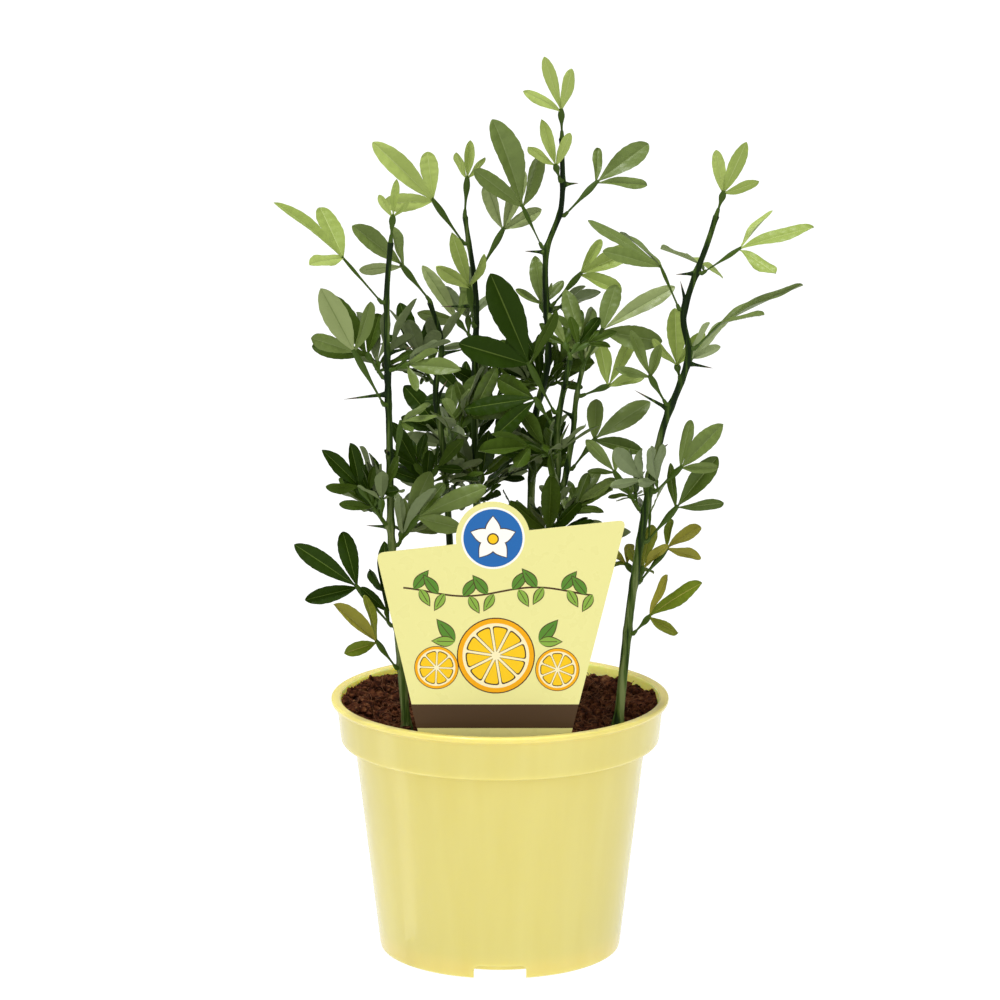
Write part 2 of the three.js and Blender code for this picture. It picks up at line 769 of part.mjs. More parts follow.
export default part;
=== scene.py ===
# A young trifoliate orange in its nursery pot, with its plastic tag. +Z is up and -Y is the front.
# The plant is worked out in millimetres, and each mesh is brought to metres as it is made.
import math

import bmesh
import bpy
import numpy as np
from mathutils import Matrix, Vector, noise


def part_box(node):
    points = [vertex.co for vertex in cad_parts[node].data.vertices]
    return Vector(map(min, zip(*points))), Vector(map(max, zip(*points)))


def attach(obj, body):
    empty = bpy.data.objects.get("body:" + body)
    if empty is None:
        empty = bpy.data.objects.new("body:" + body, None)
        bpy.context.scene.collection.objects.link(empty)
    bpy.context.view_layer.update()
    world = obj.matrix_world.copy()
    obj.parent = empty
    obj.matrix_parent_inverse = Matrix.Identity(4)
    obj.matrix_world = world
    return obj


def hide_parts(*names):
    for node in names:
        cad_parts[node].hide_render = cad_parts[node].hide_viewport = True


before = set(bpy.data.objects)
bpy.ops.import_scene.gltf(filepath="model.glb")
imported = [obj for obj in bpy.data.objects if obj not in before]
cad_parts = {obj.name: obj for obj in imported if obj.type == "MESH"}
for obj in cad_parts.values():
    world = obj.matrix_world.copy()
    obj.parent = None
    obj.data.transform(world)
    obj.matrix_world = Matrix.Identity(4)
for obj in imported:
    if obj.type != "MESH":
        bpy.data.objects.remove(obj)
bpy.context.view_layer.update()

# Camera and light
# A long lens stands well back and looks 12 degrees down on the plant. A small sun stands almost overhead and
# a wide one lights the front, and a pale sky is brightest overhead.
camera_place = (0, -2.1967, 0.6974)
camera_pitch = 78
camera_lens = 162
sensor_width = 36
plant_middle = Vector((0, 0, 0.2))
suns = {
    "front_sun": {"place": (0.1, -1.1, 0.8), "power": 0.95, "width": 60},
    "top_sun": {"place": (-0.35, 0.05, 1.8), "power": 2.5, "width": 12},
}
sky_tint = (0.98, 0.99, 1, 1)
sky_power = (0.3, 0.6)


def add_object(name, data):
    """An object that shows this data, placed in the scene."""
    thing = bpy.data.objects.new(name, data)
    bpy.context.scene.collection.objects.link(thing)
    return thing


def node_makers(tree, shader):
    """For a node tree, one function that adds a node and one that feeds an output to the shader."""

    def add(kind, inputs=None, **settings):
        node = tree.nodes.new(kind)
        for key, value in settings.items():
            setattr(node, key, value)
        for key, value in (inputs or {}).items():
            if isinstance(value, bpy.types.NodeSocket):
                tree.links.new(value, node.inputs[key])
            else:
                node.inputs[key].default_value = value
        return node

    def feed(socket, output):
        tree.links.new(output, shader.inputs[socket])

    return add, feed


camera_data = bpy.data.cameras.new("camera")
camera_data.lens = camera_lens
camera_data.sensor_width = sensor_width
camera = add_object("camera", camera_data)
camera.location = camera_place
camera.rotation_euler = (math.radians(camera_pitch), 0, 0)
bpy.context.scene.camera = camera
bpy.context.scene.view_settings.view_transform = "Standard"

for name, sun in suns.items():
    lamp = bpy.data.lights.new(name, "SUN")
    lamp.energy = sun["power"]
    lamp.angle = math.radians(sun["width"])
    holder = add_object(name, lamp)
    holder.location = sun["place"]
    holder.rotation_euler = (plant_middle - Vector(sun["place"])).to_track_quat("-Z", "Y").to_euler()

sky = bpy.data.worlds.new("studio_sky")
sky.use_nodes = True
backdrop = sky.node_tree.nodes["Background"]
backdrop.inputs["Color"].default_value = sky_tint
add, feed = node_makers(sky.node_tree, backdrop)
direction = add("ShaderNodeTexCoord").outputs["Generated"]
steepness = add("ShaderNodeSeparateXYZ", {"Vector": direction}).outputs["Z"]
sky_limits = {"Value": steepness, "From Min": 0, "To Min": sky_power[0], "To Max": sky_power[1]}
feed("Strength", add("ShaderNodeMapRange", sky_limits).outputs["Result"])
bpy.context.scene.world = sky

# Pot
# The pot is a thin shell of satin yellow polypropylene, moulded in one shot. A broad band stiffens it
# under the lip, and its foot has a gutter with drain holes, which empties through three arches. Light
# comes through the thin wall above the soil, and the wall's inside there has a paler base colour: a
# painted glow for that light.
pot_low, pot_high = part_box("pot")
pot_height = pot_high.z * 1000
rim_radius = (pot_high.x - pot_low.x) * 500
wall = 1.8
floor_thickness = 2
foot_radius = 60.65
body_top_radius = 73.2
band_foot_radius = 80
band_top_radius = 82
band_foot_height = 107
band_top_height = 126.2
lip_underside_height = 127.8
pad_radius = 46
gutter_height = 7.5
gutter_width = 10.5
gutter_slant = 2
wall_slant = 1.4
pot_sides = 192
arch_count = 3
arch_width = 26
arch_height = 7
arch_corner = 3
arch_overshoot = 4
drain_count = 6
drain_radius = 3.5
drain_sides = 24
cut_overshoot = 1
cut_weld = 0.000005
# Above this height, inward faces of the wall take the paler material: a painted glow for light through the
# wall.
painted_glow_foot = band_foot_height + 1.2 * wall
painted_glow_lean = 0.5
pot_glow = {"share": 0.6, "reach": 0.005, "tones": (1, 0.95, 0.6)}
painted_glow_wall_subsurface = {"share": 1, "reach": 0.008, "tones": (1, 0.75, 0.4)}
usual_crease = 40

gutter_inner = pad_radius + gutter_slant
gutter_outer = gutter_inner + gutter_width
floor_top = gutter_height + floor_thickness
inside_foot = foot_radius + (body_top_radius - foot_radius) * floor_top / band_foot_height - wall


def new_material(name, colour, roughness, uneven, shine=0.5):
    """A material and its node makers. Its roughness is uneven, in blotches given as (size, low, high)."""
    material = bpy.data.materials.new(name)
    material.use_nodes = True
    shader = material.node_tree.nodes["Principled BSDF"]
    shader.inputs["Base Color"].default_value = linear(colour)
    shader.inputs["Roughness"].default_value = roughness
    shader.inputs["Specular IOR Level"].default_value = shine
    add, feed = node_makers(material.node_tree, shader)
    size, low, high = uneven
    feed("Roughness", spread(add, blotches(add, size), low, high))
    return material, add, feed


def linear(colour):
    """A colour given as on a screen, from 0 to 255, as the shader wants it."""
    shares = [part / 255 for part in colour]
    return (*[s / 12.92 if s <= 0.04045 else ((s + 0.055) / 1.055) ** 2.4 for s in shares], 1)


def blotches(add, size, stretch=(1, 1, 1), detail=3.0):
    """A noise pattern over the piece, with blotches of that size in millimetres."""
    place = add("ShaderNodeTexCoord").outputs["Object"]
    scaled = add("ShaderNodeMapping", {"Vector": place, "Scale": stretch}).outputs["Vector"]
    pattern = {"Vector": scaled, "Scale": 1000 / size, "Detail": detail}
    return add("ShaderNodeTexNoise", pattern).outputs["Fac"]


def spread(add, value, low, high):
    """A pattern's middle range brought to run from low to high."""
    limits = {"Value": value, "From Min": 0.3, "From Max": 0.7, "To Min": low, "To Max": high}
    return add("ShaderNodeMapRange", limits).outputs["Result"]


def colours_along(add, value, stops):
    """A pattern's values turned into colours, given as (place, colour) stops."""
    ramp = add("ShaderNodeValToRGB", {"Fac": value})
    while len(ramp.color_ramp.elements) < len(stops):
        ramp.color_ramp.elements.new(0.5)
    for element, (place, colour) in zip(ramp.color_ramp.elements, stops):
        element.position = place
        element.color = linear(colour)
    return ramp.outputs["Color"]


def relief(add, height, depth):
    """A bump of that depth in millimetres."""
    bump = add("ShaderNodeBump", {"Height": height, "Strength": 1, "Distance": depth / 1000})
    return bump.outputs["Normal"]


def smooth(mesh, crease):
    """Rounds a mesh's shading, but for edges that turn by more than the crease in degrees."""
    mesh.shade_smooth()
    mesh.set_sharp_from_angle(angle=math.radians(crease))


def new_piece(name, points, faces, materials, slots=None, crease=usual_crease):
    """A mesh from points in millimetres; slots gives each face its material's number."""
    mesh = bpy.data.meshes.new(name)
    mesh.from_pydata((np.asarray(points, float) / 1000).tolist(), [], faces)
    for material in materials:
        mesh.materials.append(material)
    if slots is not None:
        mesh.polygons.foreach_set("material_index", slots)
    smooth(mesh, crease)
    return add_object(name, mesh)


def rounded(corners, steps=5):
    """An outline of (x, y, rounding) corners with each corner eased into a curve."""
    points = []
    for i, (x, y, rounding) in enumerate(corners):
        corner = np.array([x, y], float)
        if rounding == 0:
            points.append(corner)
            continue
        before = np.array(corners[i - 1][:2], float) - corner
        after = np.array(corners[(i + 1) % len(corners)][:2], float) - corner
        start = corner + before / np.linalg.norm(before) * rounding
        end = corner + after / np.linalg.norm(after) * rounding
        for t in np.linspace(0, 1, steps):
            points.append((1 - t) ** 2 * start + 2 * t * (1 - t) * corner + t**2 * end)
    return points


def turned(outline, sides):
    """Points and faces of an outline of (radius, height) points turned round the axis, from axis to axis."""
    points = [(0, 0, outline[0][1])]
    faces = []
    for radius, height in outline[1:-1]:
        for k in range(sides):
            angle = 2 * math.pi * k / sides
            points.append((radius * math.cos(angle), radius * math.sin(angle), height))
    points.append((0, 0, outline[-1][1]))
    rings = len(outline) - 2
    for k in range(sides):
        m = (k + 1) % sides
        faces.append((0, 1 + m, 1 + k))
        for ring in range(rings - 1):
            first = 1 + ring * sides
            faces.append((first + k, first + m, first + sides + m, first + sides + k))
        last = 1 + (rings - 1) * sides
        faces.append((last + k, last + m, len(points) - 1))
    return points, faces


def prism(outline, near, far):
    """Points and faces of a straight bar: its outline of (x, z) points runs from y near to y far."""
    count = len(outline)
    points = [(x, near, z) for x, z in outline] + [(x, far, z) for x, z in outline]
    faces = [tuple(range(count)), tuple(range(2 * count - 1, count - 1, -1))]
    for i in range(count):
        j = (i + 1) % count
        faces.append((j, i, count + i, count + j))
    return points, faces


def turn_round(points, bearing):
    """Points turned about the pot's axis."""
    c, s = math.cos(math.radians(bearing)), math.sin(math.radians(bearing))
    return [(c * x - s * y, s * x + c * y, z) for x, y, z in points]


def cut_away(piece, tools):
    """Takes each tool's shape out of a piece and tidies the cuts; the tools themselves go."""
    for tool in tools:
        step = piece.modifiers.new("cut", "BOOLEAN")
        step.object = tool
        step.solver = "EXACT"
        bpy.context.view_layer.update()
        whole = piece.evaluated_get(bpy.context.evaluated_depsgraph_get())
        mesh = bpy.data.meshes.new_from_object(whole)
        piece.modifiers.clear()
        piece.data = mesh
        bpy.data.objects.remove(tool)
    cleaned = bmesh.new()
    cleaned.from_mesh(piece.data)
    bmesh.ops.remove_doubles(cleaned, verts=cleaned.verts, dist=cut_weld)
    bmesh.ops.dissolve_degenerate(cleaned, edges=cleaned.edges, dist=cut_weld)
    gaps = [edge for edge in cleaned.edges if edge.is_boundary]
    bmesh.ops.holes_fill(cleaned, edges=gaps, sides=4)
    cleaned.to_mesh(piece.data)
    cleaned.free()
    smooth(piece.data, usual_crease)


pot_outline = rounded([
    (0, 0, 0),
    (pad_radius, 0, 0.8),
    (gutter_inner, gutter_height, 0.8),
    (gutter_outer - 1, gutter_height, 0.8),
    (gutter_outer, 0, 0.4),
    (foot_radius, 0, 1.6),
    (body_top_radius, band_foot_height, 1),
    (band_foot_radius, band_foot_height, 2.6),
    (band_top_radius, band_top_height, 0.5),
    (rim_radius, lip_underside_height, 1),
    (rim_radius, pot_height, 1),
    (band_top_radius - wall, pot_height, 1.2),
    (band_foot_radius - wall, band_foot_height + wall, 2),
    (body_top_radius - wall, band_foot_height + wall, 1.5),
    (inside_foot, floor_top, 2),
    (gutter_inner - wall_slant, floor_top, 0.8),
    (pad_radius - wall_slant, floor_thickness, 0.8),
    (0, floor_thickness, 0),
])


def let_light_in(material, share, reach, tones):
    """Lets a share of the light run that far through a plastic, in metres; its tones run more or less far."""
    inputs = material.node_tree.nodes["Principled BSDF"].inputs
    inputs["Subsurface Weight"].default_value = share
    inputs["Subsurface Radius"].default_value = tones
    inputs["Subsurface Scale"].default_value = reach


pot_plastic, add, feed = new_material("pot_plastic", (233, 216, 124), 0.2, (12, 0.17, 0.22))
let_light_in(pot_plastic, **pot_glow)
flow = blotches(add, 14, (1, 1, 0.05))
feed("Base Color", colours_along(add, flow, [(0.3, (231, 214, 120)), (0.7, (235, 219, 129))]))
feed("Normal", relief(add, blotches(add, 24, detail=0), 0.02))

# A paler copy of the pot plastic: painted glow on the wall's inside, for the light that comes through it.
painted_glow_wall = new_material("pot_painted_glow_wall", (255, 244, 158), 0.3, (12, 0.25, 0.35), 0.3)[0]
let_light_in(painted_glow_wall, **painted_glow_wall_subsurface)

pot = new_piece("pot_shell", *turned(pot_outline, pot_sides), [pot_plastic, painted_glow_wall])
# Inward faces above the band get the painted glow.
for face in pot.data.polygons:
    middle = face.center
    outward = face.normal.x * middle.x + face.normal.y * middle.y
    faces_in = outward < -painted_glow_lean * math.hypot(middle.x, middle.y)
    if faces_in and middle.z * 1000 > painted_glow_foot:
        face.material_index = 1

arch_outline = rounded([
    (arch_width / 2, -cut_overshoot, 0),
    (arch_width / 2, arch_height, arch_corner),
    (-arch_width / 2, arch_height, arch_corner),
    (-arch_width / 2, -cut_overshoot, 0),
])
drain_outline = [
    (drain_radius * math.cos(angle), drain_radius * math.sin(angle))
    for angle in np.linspace(0, 2 * math.pi, drain_sides, False)
]
drain_middle = gutter_inner + gutter_width / 2
cutters = []
for i in range(arch_count):
    points, faces = prism(arch_outline, gutter_outer - arch_overshoot, foot_radius + arch_overshoot)
    points = turn_round(points, 180 + 360 * i / arch_count)
    cutters.append(new_piece(f"arch_cutter_{i}", points, faces, [pot_plastic]))
for i in range(drain_count):
    points, faces = prism(drain_outline, gutter_height - cut_overshoot, floor_top + cut_overshoot)
    points = turn_round([(drain_middle + x, z, y) for x, y, z in points], 360 * i / drain_count)
    faces = [face[::-1] for face in faces]
    cutters.append(new_piece(f"drain_cutter_{i}", points, faces, [pot_plastic]))
cut_away(pot, cutters)
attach(pot, "root")
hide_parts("pot")

# Soil
# Dark peat fills the pot to just under its lip. It is loose and crumbly, so clods and small crumbs lie on
# it, and pale root and bark fibres stand out of it here and there.
soil_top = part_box("soil")[1].z * 1000
soil_gap = 0.3
soil_side_gap = 0.4
soil_radius = band_top_radius - wall - soil_side_gap
soil_cells = 170
soil_bank = 3.6
swell_size = 34
swell_height = 1.4
clod_size = 13
clod_height = 3
grain_size = 2.8
grain_height = 1.1
mound = {"middle": (-58, 24), "reach": 40, "height": 3}
crumb_count = 2300
crumb_reach = 0.985
crumb_sizes = (0.4, 2.1)
crumb_stretch = (0.7, 1.3)
crumb_relief = 0.75
fibre_count = 700
fibre_reach = 0.93
fibre_steps = (0.7, 2.0)
fibre_turn = 0.7
fibre_radii = (0.07, 0.16)
fibre_lift = 0.3
fibre_joints = 7
fibre_sides = 4
bare_front = -58


def draws(seed):
    """The same numbers for the same seed, each from 0 to 1."""
    state = (seed * 2654435761) & 0xFFFFFFFF
    while True:
        state = (state * 1664525 + 1013904223) & 0xFFFFFFFF
        yield state / 4294967296


def between(low, high, share):
    """A value a share of the way from low to high."""
    return low + (high - low) * share


def soil_height(x, y):
    """Height of the soil at a place: a mound, swells, clods and grains, banked up at the pot's wall."""
    away = math.hypot(x - mound["middle"][0], y - mound["middle"][1]) / mound["reach"]
    rise = mound["height"] * math.exp(-(away**2))
    swell = noise.noise(Vector((x / swell_size, y / swell_size, 3.1)))
    clods = noise.turbulence(Vector((x / clod_size, y / clod_size, 7.7)), 3, False)
    grains = noise.turbulence(Vector((x / grain_size, y / grain_size, 1.3)), 2, False)
    bank = soil_bank * (math.hypot(x, y) / soil_radius) ** 6
    ground = soil_top - swell_height + rise + swell_height * swell + bank
    return ground + clod_height * (clods - 0.35) + grain_height * (grains - 0.4)


def soil_surface():
    """A square grid eased onto a disc, closed below by the pot's inside."""
    points = []
    faces = []
    for j in range(soil_cells + 1):
        for i in range(soil_cells + 1):
            u = 2 * i / soil_cells - 1
            v = 2 * j / soil_cells - 1
            x = soil_radius * u * math.sqrt(1 - v * v / 2)
            y = soil_radius * v * math.sqrt(1 - u * u / 2)
            points.append((x, y, soil_height(x, y)))
    row = soil_cells + 1
    for j in range(soil_cells):
        for i in range(soil_cells):
            a = j * row + i
            faces.append((a, a + 1, a + row + 1, a + row))
    last = row - 1
    rim = list(range(row))
    rim += [j * row + last for j in range(1, row)]
    rim += [last * row + i for i in range(last - 1, -1, -1)]
    rim += [j * row for j in range(last - 1, 0, -1)]
    shelf_low = band_foot_height + wall + soil_gap
    levels = [
        (band_foot_radius - wall - soil_gap, shelf_low),
        (body_top_radius - wall - soil_gap, shelf_low),
        (inside_foot - soil_gap, floor_top + soil_gap),
        (pad_radius, floor_top + soil_gap),
    ]
    ring = rim
    for radius, height in levels:
        below = []
        for k in rim:
            angle = math.atan2(points[k][1], points[k][0])
            below.append(len(points))
            points.append((radius * math.cos(angle), radius * math.sin(angle), height))
        for k in range(len(ring)):
            m = (k + 1) % len(ring)
            faces.append((ring[k], below[k], below[m], ring[m]))
        ring = below
    faces.append(tuple(reversed(ring)))
    return points, faces


def join_on(points, faces, more_points, more_faces):
    """Adds a shape's points and faces to a growing mesh."""
    first = len(points)
    points.extend(more_points)
    faces.extend(tuple(first + k for k in face) for face in more_faces)


def ball_shape():
    """Points and faces of a ball of radius 1."""
    ball = bmesh.new()
    bmesh.ops.create_icosphere(ball, subdivisions=2, radius=1)
    points = np.array([v.co for v in ball.verts])
    faces = [tuple(v.index for v in face.verts) for face in ball.faces]
    ball.free()
    return points, faces


def soil_crumbs(seed):
    """Uneven lumps strewn over the soil, most of them small."""
    draw = draws(seed)
    ball, ball_faces = ball_shape()
    points = []
    faces = []
    while len(points) < crumb_count * len(ball):
        reach = soil_radius * crumb_reach * math.sqrt(next(draw))
        angle = 2 * math.pi * next(draw)
        size = between(*crumb_sizes, next(draw) ** 3)
        reach = min(reach, soil_radius - size)
        x, y = reach * math.cos(angle), reach * math.sin(angle)
        if y < bare_front:
            continue
        stretch = np.array([between(*crumb_stretch, next(draw)) for _ in range(3)])
        shift = Vector((next(draw), next(draw), next(draw))) * 50
        rough = [1 + crumb_relief * noise.noise(Vector(p) * 1.3 + shift) for p in ball]
        lump = ball * np.array(rough)[:, None] * stretch * size
        join_on(points, faces, lump + np.array([x, y, soil_height(x, y) + 0.25 * size]), ball_faces)
    return points, faces


def ring_faces(rings, sides):
    """Faces that join rings of points one after the other, and close both ends."""
    faces = []
    for a in range(0, (rings - 1) * sides, sides):
        for k in range(sides):
            m = (k + 1) % sides
            faces.append((a + k, a + m, a + sides + m, a + sides + k))
    faces.append(tuple(range(sides - 1, -1, -1)))
    faces.append(tuple(range((rings - 1) * sides, rings * sides)))
    return faces


def tube(path, radii, sides):
    """Points and faces of a round tube along a path of places, closed at both ends."""
    path = [np.array(p, float) for p in path]
    points = []
    side = None
    for i, place in enumerate(path):
        ahead = path[min(i + 1, len(path) - 1)] - path[max(i - 1, 0)]
        ahead = ahead / np.linalg.norm(ahead)
        guide = side if side is not None else np.array([1.0, 0, 0] if abs(ahead[0]) < 0.7 else [0, 1.0, 0])
        side = guide - ahead * guide.dot(ahead)
        side = side / np.linalg.norm(side)
        up = np.cross(ahead, side)
        for k in range(sides):
            angle = 2 * math.pi * k / sides
            points.append(place + radii[i] * (math.cos(angle) * side + math.sin(angle) * up))
    return points, ring_faces(len(path), sides)


def soil_fibres(seed):
    """Fine fibres that wander over the soil and lift off it a little."""
    draw = draws(seed)
    points = []
    faces = []
    for _ in range(fibre_count):
        reach = soil_radius * fibre_reach * math.sqrt(next(draw))
        angle = 2 * math.pi * next(draw)
        x, y = reach * math.cos(angle), reach * math.sin(angle)
        if y < bare_front:
            continue
        turn = 2 * math.pi * next(draw)
        step = between(*fibre_steps, next(draw))
        rise = between(0, 1, next(draw) ** 4)
        radius = between(*fibre_radii, next(draw))
        path = []
        for k in range(fibre_joints):
            if math.hypot(x, y) > soil_radius - 1:
                break
            path.append((x, y, soil_height(x, y) + fibre_lift + rise * k))
            turn += between(-fibre_turn, fibre_turn, next(draw))
            x += step * math.cos(turn)
            y += step * math.sin(turn)
        if len(path) >= 3:
            join_on(points, faces, *tube(path, [radius] * len(path), fibre_sides))
    return points, faces


peat, add, feed = new_material("peat", (50, 24, 14), 0.95, (3, 0.8, 1), 0.06)
mottle = blotches(add, 3, detail=6)
peat_stops = [(0.32, (30, 11, 5)), (0.48, (62, 30, 16)), (0.6, (90, 52, 30)), (0.74, (122, 86, 56))]
feed("Base Color", colours_along(add, mottle, peat_stops))
feed("Normal", relief(add, blotches(add, 0.9, detail=5), 0.35))

fibre = new_material("root_fibre", (112, 76, 52), 0.85, (2, 0.7, 0.95), 0.1)[0]

ground = new_piece("soil_ground", *soil_surface(), [peat])
crumbs = new_piece("soil_crumbs", *soil_crumbs(11), [peat])
fibres = new_piece("soil_fibres", *soil_fibres(23), [fibre])
for piece in (ground, crumbs, fibres):
    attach(piece, "root")
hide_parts("soil")

# Tag
# The tag is a flat card of glossy yellow plastic, cut with a round crest, that stands in the soil on a
# pointed tail. Its print is a plain brown band, leafy twigs, blossom and cut fruit in flat inks.
tag_low, tag_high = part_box("tag")
tag_front = tag_low.y * 1000
tag_back = tag_high.y * 1000
tag_foot = (-39.7, 34.3, soil_top + soil_gap)
tag_left_top = (-60.2, 218.2)
tag_right_top = (61.2, 234.6)
tag_corner = 4
crest_middle = (-3.4, 225.7)
crest_radius = 18
crest_angles = (12, 190)
tail_half_width = 13
tail_depth = 28
tail_tip = 5
band_heights = (130.5, 142.5)
badge_radii = {"petal": 15.4, "blue": 14.4}
blossom_radius = 11.2
blossom_heart = {"brown": 0.26, "flesh": 0.2}
fruit_rings = {"brown": 1.03, "rind": 1, "pith": 0.88}
segment_inks = {
    "brown": {"start": 0.1, "end": 0.8, "gap": 2.2},
    "flesh": {"start": 0.13, "end": 0.765, "gap": 3.8},
}
segment_corner = 1.2
twig_ends = (-47, 45)
twig_level = 199
twig_wave = 2.2
twig_wave_length = 11
ink_step = 0.012
ink_border = 0.9
printed_leaf_width = 0.42
printed_leaf_tip = 0.6
printed_rib_width = 0.35
petal_width = 0.62
petal_tip = 0.5
tag_crease = 30


def spot(middle, reach, angle):
    """The place at a reach from a middle, along an angle in degrees."""
    c, s = math.cos(math.radians(angle)), math.sin(math.radians(angle))
    return (middle[0] + reach * c, middle[1] + reach * s)


def arc(middle, radius, first, last, steps):
    """Points of an arc, with its angles in degrees."""
    return [spot(middle, radius, angle) for angle in np.linspace(first, last, steps)]


tail_x = (tag_foot[0] + tag_foot[1]) / 2
tail_end = soil_top - tail_depth
tag_corners = rounded([
    (tag_foot[0], tag_foot[2], 0.6),
    (tail_x - tail_half_width, tag_foot[2], 0.6),
    (tail_x - tail_tip, tail_end, 1),
    (tail_x + tail_tip, tail_end, 1),
    (tail_x + tail_half_width, tag_foot[2], 0.6),
    (tag_foot[1], tag_foot[2], 0.6),
    (*tag_right_top, tag_corner),
    (*arc(crest_middle, crest_radius, *crest_angles, 2)[0], 0),
], 6)
tag_crest = arc(crest_middle, crest_radius, *crest_angles, 48)
tag_left = rounded([(*tag_crest[-1], 0), (*tag_left_top, tag_corner), (tag_foot[0], tag_foot[2], 0)], 6)
tag_outline = tag_corners[:-1] + tag_crest + tag_left[1:-1]

tag_plastic, add, feed = new_material("tag_plastic", (238, 232, 152), 0.3, (9, 0.24, 0.36), 0.3)
feed("Normal", relief(add, blotches(add, 30, detail=0), 0.02))

card_shape = prism([tuple(p) for p in tag_outline], tag_front, tag_back)
tag = new_piece("tag_card", *card_shape, [tag_plastic], crease=tag_crease)
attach(tag, "root")
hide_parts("tag")

ink_colours = {
    "brown": (80, 60, 40),
    "blue": (44, 108, 178),
    "rind": (247, 174, 24),
    "flesh": (252, 204, 36),
    "pith": (253, 240, 190),
    "leaf": (92, 140, 52),
    "young_leaf": (140, 178, 72),
    "petal": (255, 253, 244),
}
inks = [
    new_material(f"ink_{name}", colour, 0.32, (4, 0.28, 0.4), 0.08)[0] for name, colour in ink_colours.items()
]
ink_order = list(ink_colours)
print_points = []
print_faces = []
print_slots = []


def print_shape(ink, outline, layer):
    """One flat inked shape on the tag's front; each layer of ink lies on the one before."""
    first = len(print_points)
    print_points.extend((x, tag_front - layer * ink_step, z) for x, z in outline)
    turn = sum(
        outline[i - 1][0] * outline[i][1] - outline[i][0] * outline[i - 1][1] for i in range(len(outline))
    )
    face = list(range(first, first + len(outline)))
    print_faces.append(tuple(face if turn > 0 else reversed(face)))
    print_slots.append(ink_order.index(ink))


def leaf_shape(foot, angle, length, width):
    """A pointed leaf from its foot, along an angle in degrees."""
    c, s = math.cos(math.radians(angle)), math.sin(math.radians(angle))
    shares = np.linspace(0, 1, 12)
    upper = [(t * length, width / 2 * math.sin(math.pi * t**0.8)) for t in shares]
    outline = upper + [(x, -y) for x, y in reversed(upper[1:-1])]
    return [(foot[0] + c * x - s * y, foot[1] + s * x + c * y) for x, y in outline]


def stroke_shape(path, width):
    """A pen stroke along a path of points."""
    path = [np.array(p, float) for p in path]
    left = []
    right = []
    for i, place in enumerate(path):
        ahead = path[min(i + 1, len(path) - 1)] - path[max(i - 1, 0)]
        across = np.array([-ahead[1], ahead[0]]) / np.linalg.norm(ahead) * width / 2
        left.append(tuple(place + across))
        right.append(tuple(place - across))
    return left + right[::-1]


def print_leaf(foot, angle, length, ink, layer):
    """A leaf with a brown outline and midrib."""
    width = length * printed_leaf_width
    print_shape("brown", leaf_shape(foot, angle, length + printed_leaf_tip, width + ink_border), layer)
    print_shape(ink, leaf_shape(foot, angle, length, width), layer + 1)
    midrib = [spot(foot, length * t, angle) for t in (0.05, 0.8)]
    print_shape("brown", stroke_shape(midrib, printed_rib_width), layer + 2)


def print_blossom(middle, radius, layer):
    """A blossom of five petals round a yellow heart."""
    width = radius * petal_width
    for k in range(5):
        angle = 90 + 72 * k
        border = leaf_shape(middle, angle, radius + petal_tip, width + ink_border)
        print_shape("brown", border, layer + k)
        print_shape("petal", leaf_shape(middle, angle, radius, width), layer + 5 + k)
    for k, (ink, share) in enumerate(blossom_heart.items()):
        print_shape(ink, arc(middle, radius * share, 0, 345, 24), layer + 10 + k)


def print_cut_fruit(middle, radius, segments, tilt, layer):
    """A fruit cut across: brown outline, rind, pith and a wheel of juicy segments."""
    for k, (ink, share) in enumerate(fruit_rings.items()):
        print_shape(ink, arc(middle, radius * share, 0, 352, 46), layer + k)
    step = 360 / segments
    for angle in [tilt + k * step for k in range(segments)]:
        for k, (ink, part) in enumerate(segment_inks.items()):
            foot = spot(middle, part["start"] * radius, angle)
            half = step / 2 - part["gap"]
            edge = arc(middle, radius * part["end"], angle - half, angle + half, 7)
            rim = [(*p, 0) for p in edge[1:-1]]
            wedge = rounded([(*foot, 0), (*edge[0], segment_corner), *rim, (*edge[-1], segment_corner)], 4)
            print_shape(ink, [tuple(p) for p in wedge], layer + 3 + k)


def tag_edge(height):
    """The tag's left and right edge at a height."""
    share_left = (height - tag_foot[2]) / (tag_left_top[1] - tag_foot[2])
    share_right = (height - tag_foot[2]) / (tag_right_top[1] - tag_foot[2])
    left = between(tag_foot[0], tag_left_top[0], share_left)
    return left, between(tag_foot[1], tag_right_top[0], share_right)


band_low, band_high = band_heights
print_shape("brown", [
    (tag_edge(band_low)[0], band_low),
    (tag_edge(band_low)[1], band_low),
    (tag_edge(band_high)[1], band_high),
    (tag_edge(band_high)[0], band_high),
], 1)

for k, (ink, radius) in enumerate(badge_radii.items()):
    print_shape(ink, arc(crest_middle, radius, 0, 356, 60), 1 + k)
print_blossom((crest_middle[0], crest_middle[1] - 0.4), blossom_radius, 3)


def twig_height(x):
    """Height of the printed twig, which runs in gentle waves."""
    return twig_level + twig_wave * math.sin(x / twig_wave_length)


twig_path = [(x, twig_height(x)) for x in np.linspace(*twig_ends, 40)]
print_shape("brown", stroke_shape(twig_path, 0.9), 1)
for k, x in enumerate(range(-42, 44, 12)):
    side = 1 if k % 2 == 0 else -1
    print_leaf((x, twig_height(x)), 90 - side * 38, 11.5, "leaf", 2 + 3 * (k % 2))
    print_leaf((x + 3, twig_height(x)), -90 + side * 30, 9.5, "young_leaf", 8 + 3 * (k % 2))

